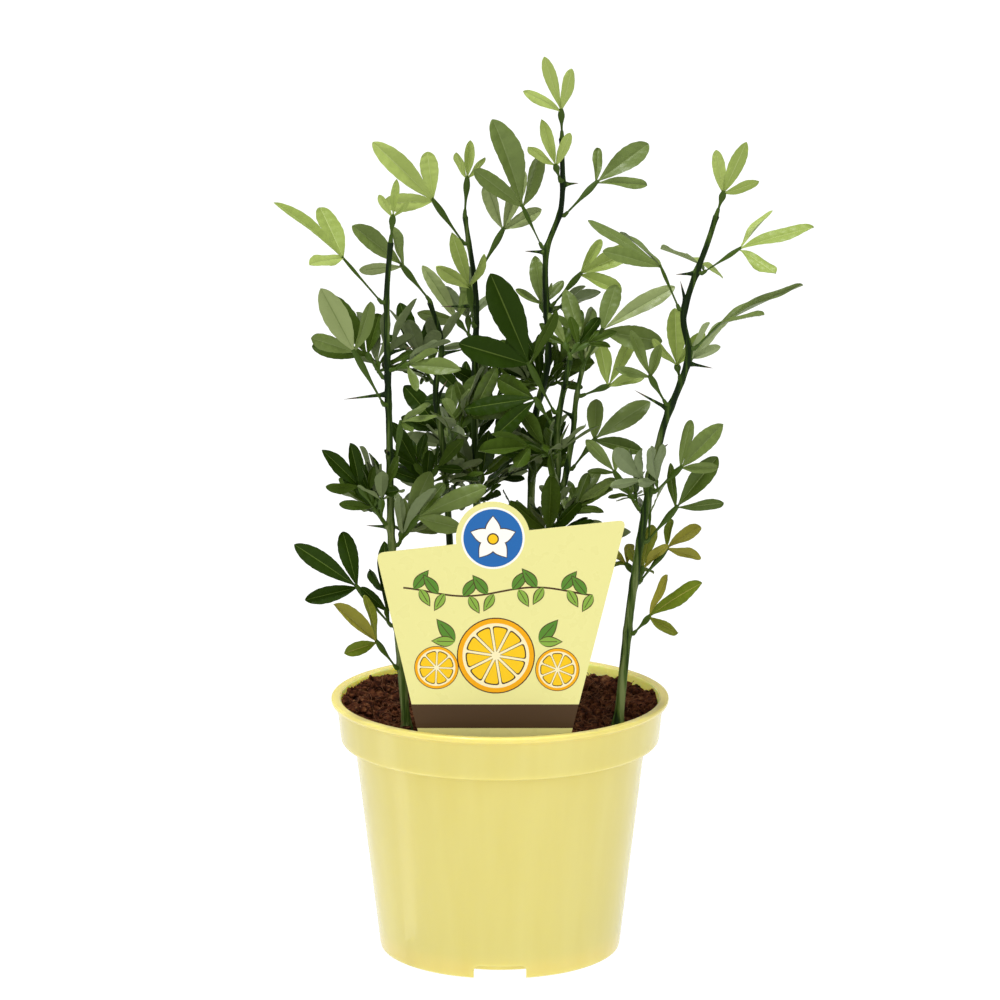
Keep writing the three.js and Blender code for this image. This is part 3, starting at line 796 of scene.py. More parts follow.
# Each fruit: middle, radius, number of segments, tilt. Each leaf: foot, bearing, length, ink, layer
for middle, radius, segments, tilt in (
    ((-2, 167), 18.5, 10, 9),
    ((-31, 161), 10.5, 8, 20),
    ((28, 160), 10.5, 8, 0),
):
    print_cut_fruit(middle, radius, segments, tilt, 4)
for foot, angle, length, ink, layer in (
    ((-22, 174), 128, 14, "leaf", 1),
    ((-22, 174), 178, 11, "young_leaf", 4),
    ((19, 174), 50, 14, "leaf", 1),
    ((19, 174), 0, 11, "young_leaf", 4),
):
    print_leaf(foot, angle, length, ink, layer)

tag_print = new_piece("tag_print", print_points, print_faces, inks, print_slots)
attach(tag_print, "root")

# Stems
# The stems are green and slightly ridged, with a swelling and a stout straight thorn at most nodes. They
# rise from the soil side by side, and one carries a short bough on a clean fork.
degrees = math.pi / 180
flare_height = 9
flare_growth = 0.45
thorn_radius = 1.1
stem_sides = 16
ring_step = 1.1
node_reach = 2.4
node_growth = 0.3
node_roundness = 0.35
rib_count = 5
rib_depth = 0.05
bark_grain = 0.05
thorn_sides = 8
thorn_rings = 9
thorn_flare = 0.7
thorn_flare_reach = 1.6
thorn_blunt = 0.06
thorn_tip_share = 0.66
bough_root_share = 0.4
bough_bend_reach = 3.5
bough_swell = 1.35
bough_bend_rings = 9
soil_depth = 4
bark_crease = 60

# Each stem: its widths at foot and tip, and its bends as (x, y, height)
# Each spray: height on the stem, bearing, rise and length of the leaf stalk, rise and length of the
# middle leaflet, how far it faces the front, number of leaves, tint, length of its twig if a long one
# Each thorn: height on the stem, bearing, rise, length
stems = [
    {
        "name": "left",
        "widths": [4.4, 2.6],
        "bends": [[-46, -46, 125.3], [-53, -43, 214], [-54, -42, 270], [-55, -39, 338], [-53, -38, 366]],
        "sprays": [
            [366, 0, 85, 10, 85, 17, 75, 1, "light"],
            [337, 195, 50, 28, 46, 42, 22, 1, "light"],
            [300, 150, 50, 7, 50, 36, 60, 3, "dark", 8],
            [287, 218, 58, 32, 60, 35, 60, 2, "middle"],
            [304, 330, 20, 8, 3, 27, 53, 2, "middle"],
            [254, 320, 80, 24, 18, 22, 30, 1, "middle"],
            [228, 210, 55, 14, 46, 26, 60, 5, "dark", 12],
            [217, 350, 55, 16, 27, 36, 45, 3, "middle"],
            [177, 175, 49, 24, 35, 36, 53, 2, "dark"],
            [156, 225, 50, 19, 42, 34, 50, 1, "turning"],
        ],
        "thorns": [[312, 20, 10, 14], [292, 190, -5, 22], [226, 185, 5, 12], [262, 260, 25, 10]],
    },
    {
        "name": "inner_left",
        "widths": [4.2, 2.4],
        "bends": [
            [-22, 2, 125.3], [-25.5, 0, 215], [-29, -1, 262], [-32, -2, 285], [-29, -3, 311],
            [-34.5, -4, 331],
        ],
        "sprays": [
            [331, 195, 52, 21, 42, 30, 60, 1, "middle"],
            [290, 140, 50, 8, 70, 26, 70, 3, "dark", 10],
            [228, 215, 55, 11, 60, 24, 60, 5, "dark", 18],
            [258, 15, 50, 9, 62, 27, 60, 3, "middle", 10],
        ],
        "thorns": [[246, 190, 25, 20], [281, 20, 60, 12], [305, 30, 5, 15]],
    },
    {
        "name": "middle",
        "widths": [4.4, 2.4],
        "bends": [[-8, 34, 125.3], [-12.4, 37, 237], [-12.9, 38, 287], [-12, 39, 326], [-17.5, 40, 367]],
        "sprays": [
            [367, 350, 86, 17, 85, 18, 70, 1, "light"],
            [354, 190, 55, 26, 46, 40, 60, 1, "light"],
            [338, 20, 59, 24, 69, 30, 60, 1, "middle"],
            [312, 240, 78, 20, 60, 30, 60, 2, "light"],
            [306, 165, 50, 9, 58, 32, 55, 2, "middle"],
            [262, 30, 50, 12, 45, 30, 60, 4, "dark", 14],
            [240, 150, 45, 13, 45, 30, 50, 4, "dark", 12],
            [222, 280, 50, 13, 55, 28, 60, 4, "dark", 10],
        ],
        "thorns": [[322, 185, 0, 18], [300, 350, 10, 12], [270, 70, 20, 14]],
    },
    {
        "name": "tall",
        "widths": [4.6, 2.4],
        "bends": [
            [14.3, 24, 125.3], [15.6, 24, 225], [17.6, 24, 267], [24, 23, 297], [23, 22, 351],
            [30.5, 22, 375], [30.7, 22, 409],
        ],
        "sprays": [
            [409, 190, 88, 11, 72, 27, 75, 1, "light"],
            [388, 240, 60, 8, 60, 27, 75, 1, "light"],
            [371, 20, 43, 22, 33, 32, 50, 1, "middle"],
            [354, 170, 64, 21, 76, 44, 16, 1, "middle"],
            [325, 350, 49, 20, 27, 30, 60, 2, "light"],
            [318, 110, 50, 7, 66, 25, 60, 2, "middle"],
            [280, 60, 45, 13, 45, 30, 50, 4, "dark", 12],
            [236, 285, 50, 11, 60, 28, 60, 4, "dark", 8],
        ],
        "thorns": [[386, 0, 5, 8], [352, 180, 3, 11], [323, 10, 10, 18], [300, 100, 15, 13]],
    },
    {
        "name": "inner_right",
        "widths": [4.2, 2.6],
        "bends": [[16.5, -14, 125.3], [22, -16, 205], [28.5, -19, 247], [28.3, -20.5, 272], [34.3, -24, 306]],
        "sprays": [
            [279, 200, 62, 27, 67, 48, 60, 1, "dark"],
            [272, 160, 55, 14, -10, 38, 50, 1, "dark"],
            [257, 222, 25, 16, 5, 32, 45, 3, "dark"],
            [212, 275, 40, 12, 68, 33, 80, 3, "dark"],
            [222, 340, 45, 9, 36, 24, 50, 4, "middle", 8],
            [306, 120, 50, 6, 40, 20, 50, 2, "dark"],
        ],
        "thorns": [[292, 300, 30, 11], [262, 20, 60, 13]],
    },
    {
        "name": "right",
        "widths": [4.8, 2.6],
        "bends": [
            [58.5, -40, 125.3], [66, -38, 198], [79, -35, 271], [92, -34, 309], [89.6, -33, 330],
            [102, -31, 368], [105, -30.5, 378],
        ],
        "sprays": [
            [378, 350, 73, 9, 66, 26, 65, 1, "light"],
            [351, 345, 35, 21, 21, 37, 35, 2, "light"],
            [313, 350, 46, 16, 30, 44, 5, 1, "middle"],
            [332, 170, 66, 21, 34, 41, 10, 1, "middle"],
            [285, 200, 59, 15, 67, 24, 65, 1, "middle"],
            [297, 100, 40, 8, 80, 27, 80, 2, "light"],
            [243, 340, 45, 17, 48, 30, 50, 3, "middle"],
            [218, 0, 50, 21, 52, 31, 60, 2, "middle"],
            [233, 170, 56, 17, 50, 20, 50, 4, "middle", 6],
            [197, 35, 42, 21, 25, 23, 50, 2, "turning"],
            [172, 325, 47, 12, 40, 33, 50, 1, "turning"],
        ],
        "thorns": [
            [306, 5, -12, 13], [350, 180, -3, 10], [335, 200, 75, 12], [283, 185, 30, 20], [262, 60, 10, 12],
        ],
    },
]

# The bough that leaves the inner right stem: its foot's height there, then its own bends
bough = {
    "name": "bough",
    "carrier": "inner_right",
    "foot_height": 240,
    "widths": [3, 2.3],
    "bends": [[32.5, -16.5, 247], [36, -14, 267], [37.5, -13, 284], [40.5, -12, 299]],
    "sprays": [
        [299, 8, 62, 19, 32, 41, 55, 2, "middle"],
        [286, 25, 15, 14, 60, 30, 60, 1, "light"],
        [250, 18, 50, 17, 33, 33, 55, 1, "middle"],
    ],
    "thorns": [[275, 170, 30, 9]],
}


def vector(x, y, z):
    return np.array([x, y, z], float)


def unit(direction):
    """A vector of length 1 along a direction."""
    return direction / np.linalg.norm(direction)


def heading(bearing, rise):
    """A unit vector at a bearing round +Z and a rise above level, both in degrees."""
    level = math.cos(rise * degrees)
    return vector(
        level * math.cos(bearing * degrees), level * math.sin(bearing * degrees), math.sin(rise * degrees)
    )


def square_to(direction, wanted):
    """The part of a vector square to a unit direction, as a unit vector."""
    return unit(wanted - direction * wanted.dot(direction))


def stem_at(stem, height):
    """Place of a stem's middle line at a height, smooth through its bends."""
    bends = stem["bends"]
    last = len(bends) - 1
    i = 0
    while i < last - 1 and height > bends[i + 1][2]:
        i += 1

    def slope(k, side):
        a = bends[max(k - 1, 0)]
        b = bends[min(k + 1, last)]
        return (b[side] - a[side]) / (b[2] - a[2])

    rise = bends[i + 1][2] - bends[i][2]
    t = (height - bends[i][2]) / rise
    place = [
        bends[i][side] * (2 * t**3 - 3 * t**2 + 1)
        + slope(i, side) * rise * (t**3 - 2 * t**2 + t)
        + bends[i + 1][side] * (3 * t**2 - 2 * t**3)
        + slope(i + 1, side) * rise * (t**3 - t**2)
        for side in (0, 1)
    ]
    return vector(*place, height)


def stem_direction(stem, height):
    """Which way a stem runs at a height."""
    low = max(height - 1, stem["bends"][0][2])
    high = min(height + 1, stem["bends"][-1][2])
    return unit(stem_at(stem, high) - stem_at(stem, low))


def stem_radius(stem, height):
    """Radius of a stem at a height: it tapers, and a stem that stands in the soil flares at its foot."""
    foot = stem["bends"][0][2]
    share = (height - foot) / (stem["bends"][-1][2] - foot)
    flare = 0 if "carrier" in stem else flare_growth * max(0, 1 - (height - foot) / flare_height) ** 2
    return between(*stem["widths"], share) / 2 * (1 + flare)


def fork(stem):
    """Where the bough leaves its stem: the stem's middle there, the way out of it, and its radius."""
    carrier = next(other for other in stems if other["name"] == stem["carrier"])
    middle = stem_at(carrier, stem["foot_height"])
    first = stem_at(stem, stem["bends"][0][2])
    outward = square_to(stem_direction(carrier, stem["foot_height"]), first - middle)
    return middle, outward, stem_radius(carrier, stem["foot_height"])


def stem_line(stem):
    """Places, radii and heights along a stem, from under the soil or from inside the stem it leaves."""
    foot = stem["bends"][0][2]
    tip = stem["bends"][-1][2]
    heights = list(np.linspace(foot, tip, math.ceil((tip - foot) / ring_step) + 1))
    places = [stem_at(stem, height) for height in heights]
    radii = [stem_radius(stem, height) for height in heights]
    if "carrier" not in stem:
        down = stem_direction(stem, foot) * soil_depth
        return [places[0] - down, *places], [radii[0], *radii], [foot - soil_depth, *heights]
    middle, outward, radius = fork(stem)
    start = middle + outward * radius * bough_root_share
    turn = middle + outward * (radius + bough_bend_reach)
    shares = np.linspace(0, 0.9, bough_bend_rings)
    bend = [(1 - t) ** 2 * start + 2 * t * (1 - t) * turn + t**2 * places[0] for t in shares]
    swollen = [radii[0] * between(bough_swell, 1, t) for t in np.linspace(0, 1, bough_bend_rings)]
    return bend + places, swollen + radii, [place[2] for place in bend] + heights


def stem_skin(stem):
    """Points and faces of a stem with its ribs, its swollen nodes and a closed tip."""
    places, radii, heights = stem_line(stem)
    nodes = [(row[0], row[1]) for row in stem["sprays"] + stem["thorns"]]
    angles = np.arange(stem_sides) * 2 * math.pi / stem_sides
    points = []
    for i, place in enumerate(places):
        ahead = unit(places[min(i + 1, len(places) - 1)] - places[max(i - 1, 0)])
        side = square_to(ahead, vector(1, 0, 0))
        up = np.cross(ahead, side)
        for angle in angles:
            swell = 1
            for height, bearing in nodes:
                near = math.exp(-(((heights[i] - height) / node_reach) ** 2))
                towards = max(0, math.cos(angle - bearing * degrees))
                swell += node_growth * near * between(node_roundness, 1, towards)
            rib = rib_depth * math.cos(rib_count * angle + heights[i] / 40)
            speck = (3 * math.cos(angle), 3 * math.sin(angle), heights[i] / 4 + limbs.index(stem) * 50)
            grain = bark_grain * noise.noise(Vector(speck))
            reach = radii[i] * swell * (1 + rib + grain)
            points.append(place + reach * (math.cos(angle) * side + math.sin(angle) * up))
    return points, ring_faces(len(places), stem_sides)


def thorn_skin(stem, row):
    """Points, faces and bark numbers of a thorn: broad where it leaves the stem, then straight to a tip."""
    height, bearing, rise, length = row
    middle = stem_at(stem, height)
    direction = heading(bearing, rise)
    base = stem_radius(stem, height)
    shares = np.linspace(0, 1, thorn_rings) ** 1.2
    path = [middle + direction * length * t for t in shares]
    radii = []
    for t in shares:
        flare = thorn_flare * math.exp(-((max(0, length * t - base * 0.6) / thorn_flare_reach) ** 2))
        radii.append(thorn_radius * (1 - t) ** 0.85 + flare + thorn_blunt)
    points, faces = tube(path, radii, thorn_sides)
    tip_start = thorn_sides * (thorn_rings * thorn_tip_share)
    return points, faces, [int(min(face) >= tip_start) for face in faces]


green_bark, add, feed = new_material("green_bark", (24, 38, 8), 0.65, (3, 0.52, 0.7), 0.12)
streaks = blotches(add, 2.4, (1, 1, 0.07), detail=4)
place = add("ShaderNodeTexCoord").outputs["Object"]
height = add("ShaderNodeSeparateXYZ", {"Vector": place}).outputs["Z"]
age_limits = {"Value": height, "From Min": 0.14, "From Max": 0.33, "To Min": 0.16, "To Max": 0}
age = add("ShaderNodeMapRange", age_limits).outputs["Result"]
aged_streaks = add("ShaderNodeMath", {0: streaks, 1: age}, operation="ADD").outputs[0]
bark_stops = [(0.3, (4, 18, 1)), (0.5, (22, 40, 6)), (0.61, (58, 80, 20)), (0.76, (110, 122, 72))]
feed("Base Color", colours_along(add, aged_streaks, bark_stops))
feed("Normal", relief(add, blotches(add, 0.9, (1, 1, 0.15)), 0.1))

thorn_tip = new_material("thorn_tip", (86, 72, 44), 0.5, (2, 0.4, 0.6))[0]

limbs = [*stems, bough]
for stem in limbs:
    points, faces = stem_skin(stem)
    slots = [0] * len(faces)
    for row in stem["thorns"]:
        *thorn, thorn_slots = thorn_skin(stem, row)
        join_on(points, faces, *thorn)
        slots.extend(thorn_slots)
    node = stem["name"] if "carrier" in stem else f"stem_{stem['name']}"
    limb = new_piece(f"{node}_bark", points, faces, [green_bark, thorn_tip], slots, crease=bark_crease)
    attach(limb, "root")
    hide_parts(node)

# Leaves
# Each leaf springs from a node on a short green twig. It has a winged stalk, narrow at its foot and broad at
# its end, and three leaflets that leave the stalk's end together. Leaves higher up take paler shades and
# lower
# ones darker: young leaves are paler, and the shades also paint in the light on the plant's top and the
# shade inside it.
twig_radius = 1.1
twig_foot = 1
twig_reach = 2.6
stalk_stations = [0, 0.86, 1]
stalk_half_widths = [0.5, 1.7, 1.3]
stalk_lift = 0.4
stalk_sink = 1.2
leaf_stations = [0, 0.45, 0.82, 1]
leaf_outline = [0, 0.84, 0.94, 0]
leaf_spread = (32, 54)
side_lengths = (0.56, 0.78)
half_widths = (0.108, 0.178)
leaf_arch = (0.02, 0.17)
leaf_roll = 30
middle_roll_share = 0.4
middle_sink = 0.8
side_sink = 1.5
further_share = 0.9
further_turn = (60, 150)
further_lift = (-30, 20)
further_blade_lift = (-15, 15)
further_reach = (8, 12)
further_reach_share = 0.2
further_length = (0.7, 0.95)
further_face = (0.4, 1)
steepest_first_rise = 50
small_share = 2
small_below = 320
small_tries = 10
small_rise = (-20, 75)
small_reach = (5, 12)
small_length = (17, 28)
small_face = (20, 80)
small_room = 0.8
room_to_limb = 1.3
room_to_own_stem = 0.7
room_to_spray = 2.7
room_to_tag = 2
own_stem_reach = 7
leaf_tries = 5
front_bearing = 270
limb_gap = 0.3
leaf_columns = np.array([-1, -0.8, -0.42, -0.045, 0, 0.045, 0.42, 0.8, 1])
leaf_thickness = 0.3
side_fullness = 1.15
foot_taper = (0.85, 1.2)
tip_taper = (0.48, 0.66)
slender_foot = 0.1
slender_tip = 0.12
blade_fold = (0.16, 0.66)
blade_curl = (-0.1, 0.4)
margin_wave = (0.2, 0.8)
tooth_rate = (0.2, 0.3)
tooth_depth = 0.05
vein_pairs = 7
vein_slant = 2.2
vein_relief = 0.15
groove_depth = 0.22
groove_width = 0.09
fewest_rows = 11
most_rows = 30
stalk_rows = 12
stalk_rib = 0.55
wing = {"middle": 0.72, "reach": 0.27, "width": 1.2, "thickness": 0.25}
twig_sink = 1.2
twig_taper = (1.25, 1.15, 1, 0.9, 0.7)
twig_sides = 10
stalk_ring = [(1, 0), (0.55, 0.32), (0, 1), (-0.55, 0.32), (-1, 0), (-0.55, -0.32), (0, -1), (0.55, -0.32)]
left_limbs = 3
leaf_crease = 50
stalk_crease = 70
leaf_shine = {"light": 0.2, "middle": 0.22, "dark": 0.06, "turning": 0.15}
leaf_roughness = (0.42, 0.42, 0.42, 0.6, 0.45)
leaflet_play = 0.9
# Shades turn paler above this height: young growth, and painted light on the plant's top.
youth_and_light_start = 222
youth_and_light_rise = 145
shade_chance = 0.46

# Each tint: three shades from the darkest to the palest, then the underside and the midrib. The darkest
# shades are partly painted shade inside the plant, and the palest, greyer ones partly painted sheen.
leaf_greens = {
    "light": [(126, 146, 68), (146, 164, 80), (160, 177, 92), (146, 160, 108), (172, 186, 114)],
    "middle": [(74, 93, 28), (102, 119, 56), (138, 151, 94), (116, 129, 88), (118, 133, 76)],
    "dark": [(36, 56, 4), (60, 79, 20), (102, 116, 60), (104, 116, 76), (82, 100, 40)],
    "turning": [(100, 115, 26), (120, 128, 40), (138, 134, 46), (130, 132, 74), (150, 146, 70)],
}


def blade_middle(blade, t):
    """Middle of a blade at a share of its length: it arches down along its axis."""
    rise = blade["lift"] - blade["arch"] * blade["length"] * t * t
    return blade["base"] + blade["axis"] * blade["length"] * t + blade["normal"] * rise


def grow_leaf(root, leaf, draw):
    """One leaf: a winged stalk and three leaflets; the draws vary spread, lengths, widths and folds."""
    axis = heading(leaf["bearing"], leaf["rise"])
    blade_axis = heading(leaf["bearing"], leaf["blade_rise"])
    facing = heading(leaf["towards"], 90 - leaf["face"])
    end = root + axis * (leaf["reach"] + stalk_sink)
    normal = square_to(blade_axis, facing)
    side = np.cross(blade_axis, normal)
    blades = [{
        "base": root,
        "axis": axis,
        "normal": square_to(axis, facing),
        "length": leaf["reach"] + stalk_sink,
        "stations": stalk_stations,
        "half_widths": stalk_half_widths,
        "lift": stalk_lift,
        "arch": 0,
    }]
    for turn in (0, 1, -1):
        spread_angle = turn * between(*leaf_spread, next(draw)) * degrees
        length = leaf["length"] * (1 if turn == 0 else between(*side_lengths, next(draw)))
        half = length * between(*half_widths, next(draw))
        arch = between(*leaf_arch, next(draw))
        roll = between(-leaf_roll, leaf_roll, next(draw)) * degrees * (middle_roll_share if turn == 0 else 1)
        direction = blade_axis * math.cos(spread_angle) + side * math.sin(spread_angle)
        sink = middle_sink if turn == 0 else side_sink
        blades.append({
            "base": end - axis * sink,
            "axis": direction,
            "normal": normal * math.cos(roll) + np.cross(direction, normal) * math.sin(roll),
            "length": length + sink,
            "stations": leaf_stations,
            "half_widths": [width * half for width in leaf_outline],
            "half": half,
            "lift": 0,
            "arch": arch,
        })
    return blades


def leaf_points(blades):
    """Points over a leaf's blades, for telling whether two sprays touch."""
    points = []
    for blade in blades:
        side = np.cross(blade["axis"], blade["normal"])
        rows = max(2, math.ceil(blade["length"] / 3))
        for i in range(1, rows + 1):
            half = np.interp(i / rows, blade["stations"], blade["half_widths"])
            middle = blade_middle(blade, i / rows)
            points.extend(middle + side * across * half for across in (-1, -0.5, 0, 0.5, 1))
    return np.array(points)


def limb_points():
    """Places, radii and stem numbers along every stem and thorn, which leaves keep clear of."""
    places = []
    radii = []
    owners = []
    for number, stem in enumerate(limbs):
        for height in np.arange(stem["bends"][0][2], stem["bends"][-1][2], 2):
            places.append(stem_at(stem, height))
            radii.append(stem_radius(stem, height))
            owners.append(number)
        for height, bearing, rise, length in stem["thorns"]:
            for reach in np.arange(0, length + 1e-9, 1.5):
                places.append(stem_at(stem, height) + heading(bearing, rise) * reach)
                radii.append(thorn_radius / 2)
                owners.append(number if reach < 4 else -1)
    return np.array(places), np.array(radii), np.array(owners)


def distances(points, others):
    """How far each point is from each of the others."""
    return np.linalg.norm(points[:, None, :] - others[None, :, :], axis=2)


def inside_tag(points):
    """Which points lie in the tag or too near it."""
    share = (points[:, 2] - soil_top) / (tag_right_top[1] - soil_top)
    left = tag_foot[0] + (tag_left_top[0] - tag_foot[0]) * share - room_to_tag
    right = tag_foot[1] + (tag_right_top[0] - tag_foot[1]) * share + room_to_tag
    top = crest_middle[1] + crest_radius + room_to_tag
    near = np.abs(points[:, 1] - (tag_front + tag_back) / 2) < room_to_tag
    return near & (points[:, 2] < top) & (points[:, 0] > left) & (points[:, 0] < right)


def is_blocked(points, root, spray, room_to_others=room_to_spray):
    """Whether a leaf meets the tag, the soil or the pot, or comes too near a limb or another spray."""
    if inside_tag(points).any() or (points[:, 2] < pot_height + room_to_limb).any():
        return True
    near_root = np.linalg.norm(points - root, axis=1) < own_stem_reach
    own = limb_owners == limbs.index(spray["stem"])
    room = np.where(near_root[:, None] & own[None, :], room_to_own_stem, room_to_limb)
    if (distances(points, limb_places) < limb_radii[None, :] + room).any():
        return True
    for owner, others in taken:
        if owner is not spray and (distances(points, others) < room_to_others).any():
            return True
    return False


def grow_twig(spray):
    """The twig of a spray: it leaves its stem, or the stem's tip, and leans to the first leaf."""
    stem = spray["stem"]
    height, bearing, rise = spray["row"][:3]
    reach = spray["row"][9] if len(spray["row"]) > 9 else twig_reach
    direction = stem_direction(stem, height)
    at_tip = height >= stem["bends"][-1][2]
    outward = direction if at_tip else square_to(direction, heading(bearing, 0))
    start = stem_at(stem, height) + outward * ((0 if at_tip else stem_radius(stem, height)) + limb_gap)
    bend = start + outward * twig_foot
    return start, outward, bend, bend + heading(bearing, rise) * reach


def try_leaf(spray, leaf):
    """Grows a leaf from its twig and keeps it where it has room."""
    bend, end = grow_twig(spray)[2:]
    root = between(bend, end, leaf["share"]) - heading(leaf["bearing"], leaf["rise"]) * stalk_sink
    blades = grow_leaf(root, leaf, spray["draw"])
    points = leaf_points(blades)
    if is_blocked(points, root, spray):
        return False
    spray["leaves"].append(blades)
    taken.append((spray, points))
    return True


def try_further_leaf(spray, turn_side, share):
    """A further leaf: its directions are drawn again until one has room, and then it is left out."""
    _, bearing, rise, reach, _, length, face = spray["row"][:7]
    draw = spray["draw"]
    for _ in range(leaf_tries):
        lift = min(rise, steepest_first_rise) + between(*further_lift, next(draw))
        leaf = {
            "bearing": bearing + turn_side * between(*further_turn, next(draw)),
            "rise": lift,
            "reach": between(*further_reach, next(draw)) + further_reach_share * reach,
            "blade_rise": lift + between(*further_blade_lift, next(draw)),
            "length": length * between(*further_length, next(draw)),
            "face": face * between(*further_face, next(draw)),
            "towards": 360 * next(draw),
            "share": share,
        }
        if try_leaf(spray, leaf):
            return


limb_places, limb_radii, limb_owners = limb_points()
taken = []
sprays = []
for number, stem in enumerate(limbs):
    for i, row in enumerate(stem["sprays"]):
        seed = number * 100 + i + 1
        sprays.append({
            "name": f"spray_{stem['name']}_{i + 1}",
            "stem": stem,
            "row": row,
            "draw": draws(seed),
            "fine": draws(5000 + seed),
            "leaves": [],
            "small_leaves": [],
        })
for spray in sprays:
    leaf = dict(zip(("bearing", "rise", "reach", "blade_rise", "length", "face"), spray["row"][1:7]))
    try_leaf(spray, {**leaf, "towards": front_bearing, "share": 1})
for spray in sprays:
    towards_back = -1 if math.cos(spray["row"][1] * degrees) < 0 else 1
    count = spray["row"][7]
    for k in range(1, count):
        share = 1 - k / count * further_share
        try_further_leaf(spray, towards_back if k % 2 == 1 else -towards_back, share)


def try_small_leaf(spray):
    """A small leaf that fills the spray out within its reach, left out where no direction has room."""
    draw = spray["fine"]
    low, high = (np.array(corner) * 1000 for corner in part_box(spray["name"]))
    bend, end = grow_twig(spray)[2:]
    for _ in range(small_tries):
        rise = between(*small_rise, next(draw))
        leaf = {
            "bearing": 360 * next(draw),
            "rise": rise,
            "reach": between(*small_reach, next(draw)),
            "blade_rise": rise + between(*further_blade_lift, next(draw)),
            "length": between(*small_length, next(draw)),
            "face": between(*small_face, next(draw)),
            "towards": 360 * next(draw),
        }
        root = between(bend, end, next(draw)) - heading(leaf["bearing"], rise) * stalk_sink
        blades = grow_leaf(root, leaf, draw)
        points = leaf_points(blades)
        if (points < low).any() or (points > high).any() or is_blocked(points, root, spray, small_room):
            continue
        spray["small_leaves"].append(blades)
        taken.append((spray, points))
        return


for spray in sprays:
    height, count = spray["row"][0], spray["row"][7]
    for _ in range(small_share * (count - 1) if height < small_below else 0):
        try_small_leaf(spray)


def leaflet(blade, slender, draw):
    """Points, faces and finish numbers of a leaflet: 0 above, 1 below, 2 along its midrib."""
    foot = between(*foot_taper, next(draw)) + slender_foot * slender
    tip = between(*tip_taper, next(draw)) + slender_tip * slender
    fold = between(*blade_fold, next(draw))
    curl = between(*blade_curl, next(draw))
    wave = between(*margin_wave, next(draw))
    phase = 2 * math.pi * next(draw)
    rows = round(min(most_rows, max(fewest_rows, blade["length"])))
    teeth = round(between(*tooth_rate, next(draw)) * rows)
    s = np.linspace(0, 1, rows + 1)
    t = (1 - (1 - s) ** 1.7)[:, None]
    u = leaf_columns[None, :]
    half = blade["half"] * (1 if slender else side_fullness)
    widest = foot / (foot + tip)
    swell = (t / widest) ** foot * ((1 - t) / (1 - widest)) ** tip
    width = half * swell * (1 + tooth_depth * np.abs(np.sin(math.pi * teeth * t)))
    width = np.maximum(width, 0.42 * (1 - t) + 0.03)
    across = u * width
    vein_phase = 2 * math.pi * (vein_pairs * t - vein_slant * np.abs(u))
    veins = vein_relief * np.cos(vein_phase) * np.abs(u) * (1 - u**2) * 4
    rise = fold * np.abs(across) - curl * across**2 / half + wave * np.abs(u) ** 3 * np.sin(9 * t + phase)
    groove = groove_depth * np.exp(-((u / groove_width) ** 2)) * np.sin(math.pi * t)
    side = np.cross(blade["axis"], blade["normal"])
    middle = np.array([blade_middle(blade, share) for share in t[:, 0]])
    flat = middle[:, None, :] + across[:, :, None] * side
    depth = leaf_thickness * (1 - 0.85 * np.abs(u) ** 4) + 0.3 * np.exp(-((u / 0.1) ** 2)) * (1 - t)
    top = flat + (rise + veins - groove)[:, :, None] * blade["normal"]
    under = flat + (rise + veins - depth)[:, :, None] * blade["normal"]
    columns = len(leaf_columns)
    points = np.concatenate([top.reshape(-1, 3), under.reshape(-1, 3)])
    lower = len(points) // 2
    faces = []
    finish = []
    for i in range(rows):
        for j in range(columns - 1):
            a = i * columns + j
            b = a + columns
            faces.append((a, a + 1, b + 1, b))
            finish.append(2 if abs(leaf_columns[j] + leaf_columns[j + 1]) < 0.05 else 0)
            faces.append((lower + a, lower + b, lower + b + 1, lower + a + 1))
            finish.append(1)
        first, last = i * columns, i * columns + columns - 1
        faces.append((first, first + columns, lower + first + columns, lower + first))
        faces.append((last, lower + last, lower + last + columns, last + columns))
        finish.extend((0, 0))
    for row, order in ((0, 1), (rows, -1)):
        for j in range(columns - 1):
            a = row * columns + j
            faces.append((a, lower + a, lower + a + 1, a + 1)[::order])
            finish.append(0)
    return points, faces, finish


def winged_stalk(blade):
    """Points and faces of a leaf's stalk: a thin rib with a wing at each side that widens to its end."""
    side = np.cross(blade["axis"], blade["normal"])
    points = []
    for t in np.linspace(0, 1, stalk_rows + 1):
        middle = blade_middle(blade, t) - blade["normal"] * stalk_lift
        broad = math.exp(-(((t - wing["middle"]) / wing["reach"]) ** 2))
        half = stalk_rib + wing["width"] * broad
        rib = stalk_rib + wing["thickness"] * broad
        points.extend(middle + side * half * x + blade["normal"] * rib * y for x, y in stalk_ring)
    return points, [face[::-1] for face in ring_faces(stalk_rows + 1, len(stalk_ring))]


def leaf_finish(tint, number):
    """A leaf's finish: a plain green with fine swells over it, in the shine of its tint."""
    rough = leaf_roughness[number]
    uneven = (4, rough - 0.07, rough + 0.07)
    name = f"leaf_{tint}_{number}"
    finish, add, feed = new_material(name, leaf_greens[tint][number], rough, uneven, leaf_shine[tint])
    feed("Normal", relief(add, blotches(add, 6, detail=2), 0.7))
    return finish


stalk_green = new_material("stalk_green", (60, 82, 16), 0.55, (3, 0.42, 0.58), 0.2)[0]
stalk_points = []
stalk_faces = []


